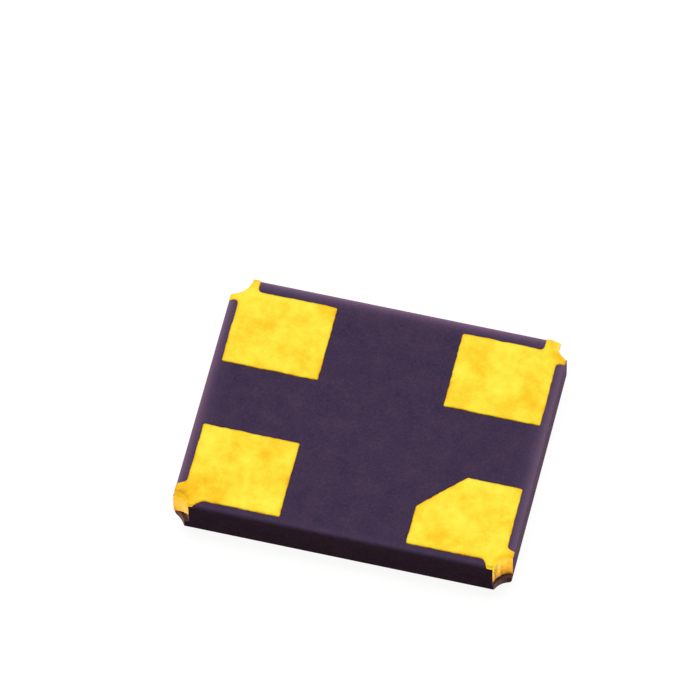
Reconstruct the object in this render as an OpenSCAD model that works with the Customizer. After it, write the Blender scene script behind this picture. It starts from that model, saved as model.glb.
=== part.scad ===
// Crystal oscillator in a four-terminal ceramic surface-mount package.
//
// The part lies on its lid: z = 0 is the outer face of the lid, and the solder
// terminals face +Z. X runs along the package, Y across it, and the origin is
// the middle of the face that it rests on. All sizes are in millimetres.
//
// Inside, the cavity opens towards the lid. Heights in the cavity are counted
// from its floor towards the lid, so they run along -Z.

/* [Package] */
// Length of the ceramic body, along X
body_l = 3.20; // [3.00:0.05:3.60]
// Width of the ceramic body, along Y
body_w = 2.50; // [2.30:0.05:2.90]
// Radius of the body's edges round the terminal face
edge_r = 0.060; // [0.040:0.001:0.080]
// Radius of the body's edges round the rim
rim_r = 0.030; // [0.010:0.005:0.060]

/* [Ceramic layers] */
// Thickness of the base layer, under the cavity floor
base_t = 0.14; // [0.10:0.01:0.25]
// Thickness of the layer round the die, whose face is the bond shelf
bond_layer_t = 0.10; // [0.07:0.01:0.12]
// Thickness of the wall layer, whose face is the rim
wall_layer_t = 0.12; // [0.09:0.01:0.20]
// Width of the wall round the cavity
wall_w = 0.36; // [0.33:0.01:0.40]
// Width of the shelf that carries the crystal
crystal_shelf_w = 0.42; // [0.40:0.01:0.48]
// Width of the ledge at the crystal's free end
end_ledge_w = 0.14; // [0.08:0.01:0.20]
// Width of the ledges along the cavity's sides
side_ledge_w = 0.15; // [0.10:0.01:0.18]
// Corner radius of the cavity and its wells
cavity_r = 0.08; // [0.04:0.01:0.12]

/* [Castellations] */
// Radius of the plated notch in the ceramic at each corner
notch_r = 0.19; // [0.15:0.01:0.24]
// Radius of the bare notch at each corner of the wall layer
wall_notch_r = 0.14; // [0.08:0.01:0.16]

/* [Terminals] */
// Length of a terminal's pad, along X
pad_l = 0.92; // [0.70:0.01:1.10]
// Width of a terminal's pad, along Y
pad_w = 0.80; // [0.60:0.01:0.90]
// Distance from a pad to the end of the body, where the print is centred
pad_end_gap = 0.083; // [0.081:0.001:0.120]
// Distance from a pad to the side of the body, where the print is centred
pad_side_gap = 0.106; // [0.081:0.001:0.140]
// How far the print of the four pads lies off the body's middle, along X
print_shift_x = 0.012; // [-0.040:0.001:0.040]
// How far the print of the four pads lies off the body's middle, along Y
print_shift_y = -0.031; // [-0.040:0.001:0.040]
// Corner radius of a pad
pad_r = 0.025; // [0.010:0.005:0.060]
// Leg of the corner cut off terminal 1, which marks it
index_cut = 0.40; // [0.20:0.01:0.50]
// Reach of a terminal's ears along the body's edges, beyond the notch
ear_reach = 0.07; // [0.04:0.01:0.12]
// How far the ears come down over the rounded edge
ear_drop = 0.040; // [0.020:0.005:0.050]
// Radius of the fillets between the ears and the pad
ear_fillet_r = 0.030; // [0.010:0.005:0.045]
// Thickness of the plating
plate_t = 0.015; // [0.010:0.001:0.025]

/* [Ring and lid] */
// Distance from the ring to the edge of the body
ring_inset = 0.12; // [0.08:0.01:0.15]
// Width of the ring's section
ring_w = 0.20; // [0.16:0.01:0.24]
// Height of the ring
ring_h = 0.10; // [0.08:0.01:0.20]
// Outer corner radius of the ring
ring_r = 0.24; // [0.18:0.01:0.30]
// Inner corner radius of the ring
ring_inner_r = 0.12; // [0.06:0.01:0.16]
// Thickness of the braze between rim and ring
braze_t = 0.010; // [0.010:0.005:0.030]
// Reach of the braze beyond the ring's outer side
braze_reach = 0.02; // [0.01:0.01:0.05]
// Distance from the lid's edge to the ring's outer side
lid_inset = 0.03; // [0.01:0.01:0.06]
// Thickness of the lid
lid_t = 0.08; // [0.06:0.01:0.12]
// Width of the weld track round the lid
track_w = 0.13; // [0.08:0.01:0.18]
// Drop of the weld track from the lid's face to its edge
track_drop = 0.020; // [0.010:0.005:0.030]

/* [Oscillator die] */
// Length of the die, along X
die_l = 0.90; // [0.70:0.01:1.05]
// Width of the die, along Y
die_w = 0.66; // [0.50:0.01:0.76]
// Thickness of the die
die_t = 0.10; // [0.08:0.01:0.20]
// Distance of the die's middle from the middle of the package, along X
die_x = 0.08; // [0.00:0.01:0.15]
// Gap between the die and the well round it
die_gap = 0.10; // [0.07:0.01:0.11]
// Thickness of the die attach
attach_t = 0.015; // [0.010:0.001:0.025]
// Reach of the die land beyond the die
die_land_reach = 0.05; // [0.02:0.01:0.06]
// Side of a bond pad
bond_pad = 0.07; // [0.06:0.01:0.09]
// Distance from a bond pad's middle to the die's edge
bond_pad_inset = 0.07; // [0.06:0.01:0.10]
// Distance between the bond pads along a long side of the die
bond_pitch_long = 0.54; // [0.30:0.01:0.60]
// Distance between the bond pads along a short side of the die
bond_pitch_short = 0.30; // [0.20:0.01:0.34]
// Thickness of a bond pad
bond_pad_t = 0.010; // [0.008:0.001:0.012]

/* [Tracks and bond wires] */
// Width of a track
track_width = 0.10; // [0.08:0.01:0.12]
// Thickness of tracks, crystal lands and the die land
land_t = 0.010; // [0.008:0.001:0.015]
// Distance from a track's tip to the edge of the die well
track_tip_gap = 0.03; // [0.02:0.01:0.05]
// Diameter of the bond wire
wire_d = 0.020; // [0.015:0.001:0.025]
// Diameter of the ball at the wire's first end
ball_d = 0.052; // [0.040:0.001:0.058]
// Height of the ball
ball_h = 0.010; // [0.008:0.001:0.012]
// Rise of the wire loop above the bond pads
loop_rise = 0.038; // [0.036:0.001:0.060]
// Distance from the track's tip to the wire's second end
stitch_reach = 0.12; // [0.10:0.01:0.15]

/* [Crystal] */
// Thickness of the quartz blank
blank_t = 0.06; // [0.05:0.01:0.08]
// Gap between the blank's clamped end and the wall
blank_end_gap = 0.15; // [0.12:0.01:0.20]
// Gap between the blank's free end and the wall
blank_free_gap = 0.20; // [0.10:0.01:0.30]
// Gap between the blank's sides and the walls
blank_side_gap = 0.19; // [0.10:0.01:0.22]
// Gap between the wire loops and the crystal
blank_gap = 0.030; // [0.020:0.005:0.050]
// Distance from the blank's ends to the electrode field
electrode_end_gap = 0.42; // [0.38:0.01:0.50]
// Distance from the blank's sides to the electrode field
electrode_side_gap = 0.24; // [0.15:0.01:0.28]
// Thickness of the electrodes
electrode_t = 0.010; // [0.008:0.001:0.012]
// Width of an electrode's lead and tab
lead_w = 0.30; // [0.24:0.01:0.34]
// Length of an electrode's tab under the blank
tab_l = 0.26; // [0.20:0.01:0.30]
// Diameter of a dot of conductive adhesive
glue_d = 0.24; // [0.16:0.01:0.26]
// Thickness of the adhesive between land and crystal
glue_t = 0.030; // [0.020:0.005:0.040]
// Distance from a crystal land to the edges of its shelf
crystal_land_gap = 0.04; // [0.03:0.01:0.06]
// Width of a crystal land, along Y
crystal_land_w = 0.36; // [0.30:0.01:0.40]
// Distance from the middle of a crystal land to the blank's side
crystal_land_inset = 0.22; // [0.16:0.01:0.26]
// Diameter of the via under a crystal land
via_d = 0.09; // [0.06:0.01:0.10]

/* [Hidden] */
TERMINALS = 4;
BOND_WIRES = 6;

$fn = 64;
SIDES = 12;       // sides of the bond wire's section
LOOP_STEPS = 10;  // rings along the falling part of a wire loop
BEND_STEPS = 4;   // rings round the bend above the ball
CUT = 0.2;        // how far cutting solids run past what they cut

// Heights above the cavity floor, towards the lid
die_h = land_t + attach_t;
bond_pad_h = die_h + die_t;
ball_foot_h = bond_pad_h + bond_pad_t;
crystal_h = ball_foot_h + loop_rise + blank_gap;
crystal_land_h = crystal_h - glue_t;
crystal_shelf_h = crystal_land_h - land_t;
blank_h = crystal_h + electrode_t;
cavity_h = crystal_shelf_h + wall_layer_t;

// Levels, from the lid's outer face up to the terminals
ring_z = lid_t;
braze_z = ring_z + ring_h;
rim_z = braze_z + braze_t;
floor_z = rim_z + cavity_h;
bond_shelf_z = floor_z - bond_layer_t;
crystal_shelf_z = floor_z - crystal_shelf_h;
face_z = floor_z + base_t;

// Plan of the cavity and its wells
cavity_l = body_l - 2 * wall_w;
cavity_w = body_w - 2 * wall_w;
well_x0 = -cavity_l / 2 + crystal_shelf_w;
well_x1 = cavity_l / 2 - end_ledge_w;
well_w = cavity_w - 2 * side_ledge_w;
die_well_l = die_l + 2 * die_gap;
die_well_w = die_w + 2 * die_gap;

// Plan of the crystal
blank_x0 = -cavity_l / 2 + blank_end_gap;
blank_x1 = cavity_l / 2 - blank_free_gap;
blank_w = cavity_w - 2 * blank_side_gap;
field_x0 = blank_x0 + electrode_end_gap;
field_x1 = blank_x1 - electrode_end_gap;
field_w = blank_w - 2 * electrode_side_gap;
crystal_land_x = -cavity_l / 2 + crystal_shelf_w / 2;
crystal_land_l = crystal_shelf_w - 2 * crystal_land_gap;
crystal_land_y = blank_w / 2 - crystal_land_inset;

// Corners of the package in the order of the terminals, seen with the terminals up:
// 1 front right, 2 front left, 3 back left, 4 back right
CORNERS = [[1, -1], [-1, -1], [-1, 1], [1, 1]];

// Wires 1 to 4 leave the die's long sides for the terminals of the same number,
// and wires 5 and 6 leave its short side for the crystal
function wire_way(i) = i <= TERMINALS ? [0, CORNERS[i - 1].y] : [-1, 0];
function wire_start(i) = i <= TERMINALS
    ? [die_x + CORNERS[i - 1].x * bond_pitch_long / 2,
       CORNERS[i - 1].y * (die_w / 2 - bond_pad_inset)]
    : [die_x - die_l / 2 + bond_pad_inset, (i == 5 ? 1 : -1) * bond_pitch_short / 2];
tip_distance = bond_pad_inset + die_gap + track_tip_gap;
wire_span = tip_distance + stitch_reach;
function track_end(i) = i <= TERMINALS
    ? [CORNERS[i - 1].x * body_l / 2, CORNERS[i - 1].y * body_w / 2]
    : [crystal_land_x, (i == 5 ? 1 : -1) * crystal_land_y];

// Places something on a face that looks towards the lid: its +Z then points at the lid
module facing_lid(z) {
    translate([0, 0, z]) mirror([0, 0, 1]) children();
}

// Rectangle about the middle with round corners
module round_rect(l, w, r) {
    square([l - 2 * r, w], center = true);
    square([l, w - 2 * r], center = true);
    for (x = [-1, 1], y = [-1, 1])
        translate([x * (l / 2 - r), y * (w / 2 - r)]) circle(r = r);
}

// Box from its low corner to its high corner
module box(low, high) {
    translate(low) cube(high - low);
}

// --- Ceramic package ---

// Section of the body across a width, its edges rounded, grown outwards at the terminal face
module body_section(w, grow) {
    middle_z = (rim_z + face_z) / 2;
    intersection() {
        translate([-w / 2, rim_z]) square([w, face_z - rim_z + grow]);
        union() {
            translate([-w / 2, rim_z + rim_r]) square([w, face_z - rim_z - edge_r - rim_r]);
            translate([-w / 2 + edge_r, middle_z])
                square([w - 2 * edge_r, face_z + grow - middle_z]);
            translate([-w / 2 + rim_r, rim_z]) square([w - 2 * rim_r, middle_z - rim_z]);
            for (side = [-1, 1]) {
                translate([side * (w / 2 - edge_r), face_z - edge_r]) circle(r = edge_r + grow);
                translate([side * (w / 2 - rim_r), rim_z + rim_r]) circle(r = rim_r);
            }
        }
    }
}

// The body without notches or cavity, grown at the terminal face by the plating's thickness
module body_envelope(grow) {
    intersection() {
        rotate([90, 0, 0]) linear_extrude(body_w, center = true) body_section(body_l, grow);
        rotate([90, 0, 90]) linear_extrude(body_l, center = true) body_section(body_w, grow);
    }
}

// Round column at a corner of the package
module corner_column(i, r, z0, z1) {
    translate([CORNERS[i - 1].x * body_l / 2, CORNERS[i - 1].y * body_w / 2, z0])
        cylinder(r = r, h = z1 - z0);
}

module cavity() {
    facing_lid(floor_z) {
        translate([die_x, 0, 0])
            linear_extrude(cavity_h + CUT) round_rect(die_well_l, die_well_w, cavity_r);
        translate([(well_x0 + well_x1) / 2, 0, bond_layer_t])
            linear_extrude(cavity_h - bond_layer_t + CUT)
            round_rect(well_x1 - well_x0, well_w, cavity_r);
        translate([0, 0, crystal_shelf_h])
            linear_extrude(wall_layer_t + CUT) round_rect(cavity_l, cavity_w, cavity_r);
    }
}

module ceramic_package() {
    color([0.20, 0.16, 0.24]) difference() {
        body_envelope(0);
        cavity();
        for (i = [1:TERMINALS]) {
            corner_column(i, wall_notch_r, rim_z - CUT, face_z + CUT);
            corner_column(i, notch_r, crystal_shelf_z, face_z + CUT);
        }
        for (i = [1:BOND_WIRES]) track_solid(i);
        for (side = [-1, 1]) via(side);
    }
}

// --- Terminals ---

// Plan of a terminal on the face of the body, turned to lie at +X +Y whatever its corner
module terminal_plan(corner, cut_corner) {
    ear = notch_r + ear_reach;
    pad_x1 = body_l / 2 - pad_end_gap + corner.x * print_shift_x;
    pad_y1 = body_w / 2 - pad_side_gap + corner.y * print_shift_y;
    difference() {
        union() {
            translate([pad_x1 - pad_l / 2, pad_y1 - pad_w / 2]) round_rect(pad_l, pad_w, pad_r);
            translate([body_l / 2 - ear, body_w / 2 - ear]) square(ear);
            ear_fillet([pad_x1, body_w / 2 - ear], [1, -1]);
            ear_fillet([body_l / 2 - ear, pad_y1], [-1, 1]);
        }
        if (cut_corner)
            translate([pad_x1 - pad_l, pad_y1 - pad_w])
                rotate(45) square(index_cut * sqrt(2), center = true);
    }
}

// Fillet in an inner corner of a plan, which opens along the two given directions
module ear_fillet(corner, open) {
    translate(corner) scale([open.x, open.y]) difference() {
        translate([-ear_fillet_r, -ear_fillet_r]) square(2 * ear_fillet_r);
        translate([ear_fillet_r, ear_fillet_r]) circle(r = ear_fillet_r);
        translate([ear_fillet_r, -ear_fillet_r]) square([CUT, 3 * ear_fillet_r]);
    }
}

module terminal(i) {
    corner = CORNERS[i - 1];
    bore_r = notch_r - plate_t;
    color([1.00, 0.84, 0.25]) intersection() {
        body_envelope(plate_t);
        difference() {
            union() {
                difference() {
                    translate([0, 0, face_z - ear_drop])
                        linear_extrude(ear_drop + 2 * plate_t)
                        mirror([corner.x < 0 ? 1 : 0, 0]) mirror([0, corner.y < 0 ? 1 : 0])
                        terminal_plan(corner, i == 1);
                    body_envelope(0);
                }
                corner_column(i, notch_r, crystal_shelf_z, face_z + 2 * plate_t);
            }
            corner_column(i, bore_r, crystal_shelf_z - CUT, face_z + CUT);
        }
    }
}

// --- Ring and lid ---

module braze_frame() {
    color([0.78, 0.76, 0.70]) translate([0, 0, braze_z]) linear_extrude(braze_t)
        difference() {
            round_rect(body_l - 2 * (ring_inset - braze_reach), body_w - 2 * (ring_inset - braze_reach),
                       ring_r + braze_reach);
            ring_opening();
        }
}

module ring_opening() {
    round_rect(body_l - 2 * (ring_inset + ring_w), body_w - 2 * (ring_inset + ring_w), ring_inner_r);
}

module seal_ring() {
    color([0.80, 0.74, 0.58]) translate([0, 0, ring_z]) linear_extrude(ring_h)
        difference() {
            round_rect(body_l - 2 * ring_inset, body_w - 2 * ring_inset, ring_r);
            ring_opening();
        }
}

// Section of the lid across a width: flat in the middle, sloped under the weld track
module lid_section(w) {
    polygon([[-w / 2 + track_w, 0], [w / 2 - track_w, 0], [w / 2, track_drop],
             [w / 2, lid_t], [-w / 2, lid_t], [-w / 2, track_drop]]);
}

module lid() {
    lid_l = body_l - 2 * (ring_inset + lid_inset);
    lid_w = body_w - 2 * (ring_inset + lid_inset);
    color([0.82, 0.82, 0.80]) intersection() {
        linear_extrude(lid_t) round_rect(lid_l, lid_w, ring_r - lid_inset);
        rotate([90, 0, 0]) linear_extrude(lid_w, center = true) lid_section(lid_l);
        rotate([90, 0, 90]) linear_extrude(lid_l, center = true) lid_section(lid_w);
    }
}

// --- Die ---

module die_plate(reach, h, t) {
    facing_lid(floor_z) translate([die_x, 0, h + t / 2])
        cube([die_l + 2 * reach, die_w + 2 * reach, t], center = true);
}

module die_land() {
    color([0.90, 0.72, 0.30]) die_plate(die_land_reach, 0, land_t);
}

module die_attach() {
    color([0.62, 0.62, 0.60]) die_plate(0, land_t, attach_t);
}

module oscillator_die() {
    color([0.28, 0.30, 0.36]) die_plate(0, die_h, die_t);
}

module bond_pads() {
    color([0.85, 0.85, 0.87]) facing_lid(floor_z)
        for (i = [1:BOND_WIRES])
            translate(concat(wire_start(i), bond_pad_h + bond_pad_t / 2))
                cube([bond_pad, bond_pad, bond_pad_t], center = true);
}

// --- Tracks between the layers ---

// Straight strip of the track's width from one point of the plan to another
module strip(from, to) {
    way = to - from;
    translate(from) rotate(atan2(way.y, way.x))
        translate([0, -track_width / 2]) square([norm(way), track_width]);
}

// Plan of a track: a finger on the shelf, then a strip under the next layer to its end
module track_plan(i) {
    tip = wire_start(i) + wire_way(i) * tip_distance;
    edge = i <= TERMINALS
        ? [tip.x, CORNERS[i - 1].y * (well_w / 2)]
        : [well_x0, tip.y];
    strip(tip, edge);
    strip(edge - wire_way(i) * track_width / 2, track_end(i));
}

module track_solid(i) {
    facing_lid(bond_shelf_z) linear_extrude(land_t) track_plan(i);
}

module track(i) {
    color([0.90, 0.72, 0.30]) difference() {
        track_solid(i);
        if (i <= TERMINALS) corner_column(i, notch_r, bond_shelf_z - CUT, bond_shelf_z + CUT);
    }
}

// --- Bond wires ---

// Centre line of a wire in its own upright plane, one entry for each ring:
// [distance along, height, slope, half width, half thickness]
foot_h = ball_foot_h;
stitch_h = bond_layer_t + land_t;
wire_r = wire_d / 2;
bend_r = wire_d;
neck_h = foot_h + loop_rise - wire_r - bend_r;
flat_share = cos(180 / SIDES);
function fall(u) = (1 - cos(180 * u)) / 2;
function loop_ring(u) =
    let (x0 = bend_r, x1 = wire_span, h0 = neck_h + bend_r, h1 = stitch_h + wire_r * flat_share,
         slope = atan2((h1 - h0) * 90 * sin(180 * u) * PI / 180, x1 - x0))
    [x0 + (x1 - x0) * u, h0 + (h1 - h0) * fall(u), slope, wire_r, wire_r];
RINGS = concat(
    [[0, foot_h, 90, ball_d / 2, ball_d / 2], [0, foot_h + ball_h, 90, ball_d / 2, ball_d / 2],
     [0, foot_h + ball_h, 90, wire_r, wire_r]],
    [for (k = [0:BEND_STEPS]) let (a = 90 * k / BEND_STEPS)
        [bend_r * (1 - cos(a)), neck_h + bend_r * sin(a), 90 - a, wire_r, wire_r]],
    [for (k = [1:LOOP_STEPS]) loop_ring(k / LOOP_STEPS)],
    [[wire_span + wire_d, stitch_h + wire_r / 3 * flat_share, 0, wire_d * 0.9, wire_r / 3]]
);

function ring_points(ring) = [for (k = [0:SIDES - 1])
    let (q = 360 * (k + 0.5) / SIDES, n = ring[4] * sin(q))
    [ring[0] - n * sin(ring[2]), ring[3] * cos(q), ring[1] + n * cos(ring[2])]];

module bond_wire(i) {
    points = [for (ring = RINGS) each ring_points(ring)];
    last = (len(RINGS) - 1) * SIDES;
    walls = [for (j = [0:len(RINGS) - 2], k = [0:SIDES - 1])
        let (a = j * SIDES + k, b = j * SIDES + (k + 1) % SIDES)
        each [[a, b, b + SIDES], [a, b + SIDES, a + SIDES]]];
    caps = [[for (k = [SIDES - 1:-1:0]) k], [for (k = [0:SIDES - 1]) last + k]];
    way = wire_way(i);
    color([0.98, 0.80, 0.35]) facing_lid(floor_z)
        translate(concat(wire_start(i), 0)) rotate(atan2(way.y, way.x))
        polyhedron(points, concat(walls, caps));
}

// --- Crystal ---

// Via under a crystal land, from the track up to the shelf
module via(side) {
    facing_lid(crystal_shelf_z)
        translate([crystal_land_x, side * crystal_land_y, -(crystal_shelf_h - bond_layer_t - land_t)])
        cylinder(d = via_d, h = crystal_shelf_h - bond_layer_t - land_t);
}

module crystal_land(side) {
    color([0.90, 0.72, 0.30]) {
        facing_lid(crystal_shelf_z)
            translate([crystal_land_x, side * crystal_land_y, land_t / 2])
            cube([crystal_land_l, crystal_land_w, land_t], center = true);
        via(side);
    }
}

module glue_dot(side) {
    color([0.66, 0.66, 0.64]) facing_lid(floor_z - crystal_land_h)
        translate([crystal_land_x, side * crystal_land_y, 0]) intersection() {
            translate([0, 0, glue_t / 2]) sphere(d = glue_d);
            cylinder(d = glue_d, h = glue_t);
        }
}

module quartz_blank() {
    color([0.88, 0.92, 0.95, 0.6]) facing_lid(floor_z)
        box([blank_x0, -blank_w / 2, blank_h], [blank_x1, blank_w / 2, blank_h + blank_t]);
}

// Field of an electrode and its lead to the clamped end, on one side of the blank
module electrode_field(side, h) {
    box([field_x0, -field_w / 2, h], [field_x1, field_w / 2, h + electrode_t]);
    lead_y = side * crystal_land_y;
    box([blank_x0, lead_y - lead_w / 2, h], [field_x0 + lead_w / 2, lead_y + lead_w / 2, h + electrode_t]);
}

module die_side_electrode() {
    color([0.86, 0.86, 0.84]) facing_lid(floor_z) electrode_field(-1, crystal_h);
}

// Its lead wraps round the clamped end, to a tab on the die side
module lid_side_electrode() {
    lead_y = crystal_land_y;
    h1 = blank_h + blank_t;
    color([0.86, 0.86, 0.84]) facing_lid(floor_z) {
        electrode_field(1, h1);
        box([blank_x0 - electrode_t, lead_y - lead_w / 2, crystal_h],
            [blank_x0, lead_y + lead_w / 2, h1 + electrode_t]);
        box([blank_x0 - electrode_t, lead_y - lead_w / 2, crystal_h],
            [blank_x0 + tab_l, lead_y + lead_w / 2, blank_h]);
    }
}

// --- Nodes ---

ceramic_package();
braze_frame();
seal_ring();
lid();
for (i = [1:TERMINALS])
    terminal(i);
die_land();
die_attach();
oscillator_die();
bond_pads();
for (i = [1:BOND_WIRES]) {
    track(i);
    bond_wire(i);
}
crystal_land(1);  // crystal_land_left
crystal_land(-1);  // crystal_land_right
glue_dot(1);  // glue_dot_left
glue_dot(-1);  // glue_dot_right
quartz_blank();
die_side_electrode();
lid_side_electrode();
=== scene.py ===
"""Looks of a four-terminal crystal oscillator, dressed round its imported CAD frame.

The part lies on its lid with the solder terminals facing +Z. Meshes are built in millimetres and
scaled to metres as they are made; their places come from the boxes of the CAD nodes.
"""

import logging
import math
from collections import Counter
from dataclasses import dataclass, field, replace
from enum import Enum
from typing import ClassVar, Iterable, Sequence

import bmesh
import bpy
import numpy as np
from mathutils import Matrix, Vector, noise
from mathutils.geometry import delaunay_2d_cdt


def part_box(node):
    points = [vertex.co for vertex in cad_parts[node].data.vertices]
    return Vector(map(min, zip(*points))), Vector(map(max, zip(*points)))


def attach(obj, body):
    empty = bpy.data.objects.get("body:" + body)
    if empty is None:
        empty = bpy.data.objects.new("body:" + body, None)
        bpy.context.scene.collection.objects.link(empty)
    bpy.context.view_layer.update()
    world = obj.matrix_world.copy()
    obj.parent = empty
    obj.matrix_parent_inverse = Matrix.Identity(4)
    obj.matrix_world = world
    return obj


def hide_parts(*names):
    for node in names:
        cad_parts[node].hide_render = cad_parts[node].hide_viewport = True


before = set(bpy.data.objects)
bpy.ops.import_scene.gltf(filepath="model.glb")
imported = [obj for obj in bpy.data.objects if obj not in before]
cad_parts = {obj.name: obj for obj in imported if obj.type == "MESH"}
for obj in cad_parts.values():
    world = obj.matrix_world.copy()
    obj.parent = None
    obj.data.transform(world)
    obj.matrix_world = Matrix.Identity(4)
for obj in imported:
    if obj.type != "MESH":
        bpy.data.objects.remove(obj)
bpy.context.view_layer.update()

MM = 0.001
MERGE_M = 2e-8
SLIVER_M = 1e-8
ON_CREASE_MM = 1e-5
FILL_INSIDE = 1
FILL_MERGE_MM = 1e-7
TINY = 1e-12
ROOT = "root"
TONE = "tone"
LOG = logging.getLogger("crystal_oscillator")

Point = tuple[float, float, float]
Pair = tuple[float, float]
Colour = tuple[float, float, float]
Loop = list[int]
Socket = bpy.types.NodeSocket


class Slot(Enum):
    """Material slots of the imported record."""

    CERAMIC = "package_ceramic"
    TERMINAL = "terminal_gold"
    BRAZE = "braze"
    RING = "ring_plating"
    LID = "lid_nickel"
    INNER_GOLD = "inner_gold"
    ADHESIVE = "silver_adhesive"
    SILICON = "silicon"
    BOND_PAD = "bond_pad_aluminium"
    WIRE = "bond_wire_gold"
    QUARTZ = "quartz"
    ELECTRODE = "electrode_silver"


class Corner(Enum):
    """Corners of the package as signs along X and Y, in the order of the terminals."""

    FRONT_RIGHT = (1, -1)
    FRONT_LEFT = (-1, -1)
    BACK_LEFT = (-1, 1)
    BACK_RIGHT = (1, 1)


class Pattern(Enum):
    """Noise over a terminal: swings in a millimetre, the seed's step per terminal and its start."""

    WAVER = (5.5, 3.7, 0.0)
    FINE_WAVER = (19.0, 3.7, 9.1)
    DIPS = (8.0, 1.9, 0.0)
    FINE_DIPS = (23.0, 1.9, 4.0)
    UNEVEN = (14.0, 7.7, 0.0)
    FOOT = (7.0, 6.3, 0.0)
    STREAKS = (9.0, 2.3, 0.0)
    FINE_STREAKS = (24.0, 5.1, 0.0)


# --- Meshes ---


@dataclass(frozen=True)
class Extent:
    """Box of a CAD node, in millimetres."""

    low: np.ndarray
    high: np.ndarray

    @classmethod
    def of(cls, node: str) -> "Extent":
        """Box of the CAD node of that name."""
        low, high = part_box(node)
        return cls(np.array(low) / MM, np.array(high) / MM)

    @property
    def size(self) -> np.ndarray:
        """Lengths of the three sides."""
        return self.high - self.low

    @property
    def middle(self) -> np.ndarray:
        """Middle of the box."""
        return (self.low + self.high) / 2


def quarter(count: int) -> np.ndarray:
    """That many angles from 0 to a right angle."""
    return np.linspace(0, math.pi / 2, count)


def ripple(points: np.ndarray, per_mm: float, seed: float) -> np.ndarray:
    """Smooth noise at points of a plan.

    Args:
        points: Rows of x and y, in millimetres.
        per_mm: How often it swings in a millimetre.
        seed: Picks one pattern among many.

    Returns:
        One value from -1 to 1 for each row.
    """
    return np.array([noise.noise(Vector((x * per_mm, y * per_mm, seed))) for x, y in points])


class Form:
    """Points and faces of one mesh while it is built, in millimetres."""

    def __init__(self) -> None:
        """Starts with nothing."""
        self.points: list[Point] = []
        self.tones: list[float] = []
        self.faces: list[tuple[int, ...]] = []

    def loop(self, points: Iterable[Sequence[float]], tones: Iterable[float] = ()) -> Loop:
        """Adds points with their tones.

        Args:
            points: The points, in millimetres.
            tones: Tone of each one, 0 where none is given.

        Returns:
            The points' numbers.
        """
        start = len(self.points)
        self.points += [tuple(float(c) for c in p) for p in points]
        self.tones += [float(t) for t in tones]
        self.tones += [0.0] * (len(self.points) - len(self.tones))
        return list(range(start, len(self.points)))

    def bridge(self, a: Loop, b: Loop, closed: bool = True) -> None:
        """Joins two loops of as many points by a band of quads.

        Args:
            a: The first loop.
            b: The second loop, point for point beside the first.
            closed: Whether the band runs on from the last point to the first.
        """
        count = len(a)
        for i in range(count if closed else count - 1):
            j = (i + 1) % count
            self.faces.append((a[i], a[j], b[j], b[i]))

    def loft(self, loops: Sequence[Loop], capped: bool = True) -> None:
        """Joins loops in their order.

        Args:
            loops: Closed loops of as many points.
            capped: Whether fans close the ends. Otherwise the last loop joins the first.
        """
        for a, b in zip(loops, loops[1:]):
            self.bridge(a, b)
        if capped:
            self.fan(loops[0])
            self.fan(loops[-1])
        else:
            self.bridge(loops[-1], loops[0])

    def fan(self, loop: Loop) -> None:
        """Closes a flat loop with triangles about its middle."""
        hub = self.loop([np.mean([self.points[i] for i in loop], axis=0)])[0]
        self.faces += [(a, b, hub) for a, b in zip(loop, loop[1:] + loop[:1])]

    def piece(self, name: str, crease_deg: float = 32.0) -> bpy.types.Object:
        """Makes the object: closed, faces outwards, smooth except at its creases.

        Args:
            name: Name of the piece.
            crease_deg: Edges that turn by more than this stay sharp.

        Returns:
            The object, at the origin, in metres.
        """
        mesh = bpy.data.meshes.new(name)
        mesh.from_pydata([(x * MM, y * MM, z * MM) for x, y, z in self.points], [], self.faces)
        if any(self.tones):
            mesh.attributes.new(TONE, "FLOAT", "POINT").data.foreach_set("value", self.tones)
        return finish_mesh(mesh, name, crease_deg)


def finish_mesh(mesh: bpy.types.Mesh, name: str, crease_deg: float = 32.0) -> bpy.types.Object:
    """Cleans a closed mesh and links an object that shows it.

    Args:
        mesh: The mesh, in metres.
        name: Name of the piece.
        crease_deg: Edges that turn by more than this stay sharp.

    Returns:
        The object, at the origin.
    """
    work = bmesh.new()
    work.from_mesh(mesh)
    bmesh.ops.remove_doubles(work, verts=work.verts, dist=MERGE_M)
    bmesh.ops.dissolve_degenerate(work, dist=SLIVER_M, edges=work.edges)
    bmesh.ops.recalc_face_normals(work, faces=work.faces)
    limit = math.radians(crease_deg)
    for edge in work.edges:
        edge.smooth = edge.calc_face_angle(0.0) < limit
    for face in work.faces:
        face.smooth = True
    work.to_mesh(mesh)
    work.free()
    mesh.name = name
    piece = bpy.data.objects.new(name, mesh)
    bpy.context.scene.collection.objects.link(piece)
    return piece


def settle(piece: bpy.types.Object, finish: "Finish", nodes: Sequence[str]) -> None:
    """Gives a piece its finish and its body, and hides the CAD nodes that it stands for.

    Args:
        piece: The piece.
        finish: Its finish.
        nodes: The CAD nodes.
    """
    piece.data.materials.clear()
    piece.data.materials.append(finish.material())
    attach(piece, ROOT)
    if nodes:
        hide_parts(*nodes)
    LOG.info("%s: %d faces, stands for %s", piece.name, len(piece.data.polygons), list(nodes))


def dress_node(node: str, finish: "Finish") -> None:
    """Gives a CAD node whose shape stays its finish.

    Args:
        node: The node.
        finish: Its finish.
    """
    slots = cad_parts[node].material_slots
    for slot in slots:
        slot.material = finish.material()
    LOG.info("%s: CAD shape with %s", node, finish.name)


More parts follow.
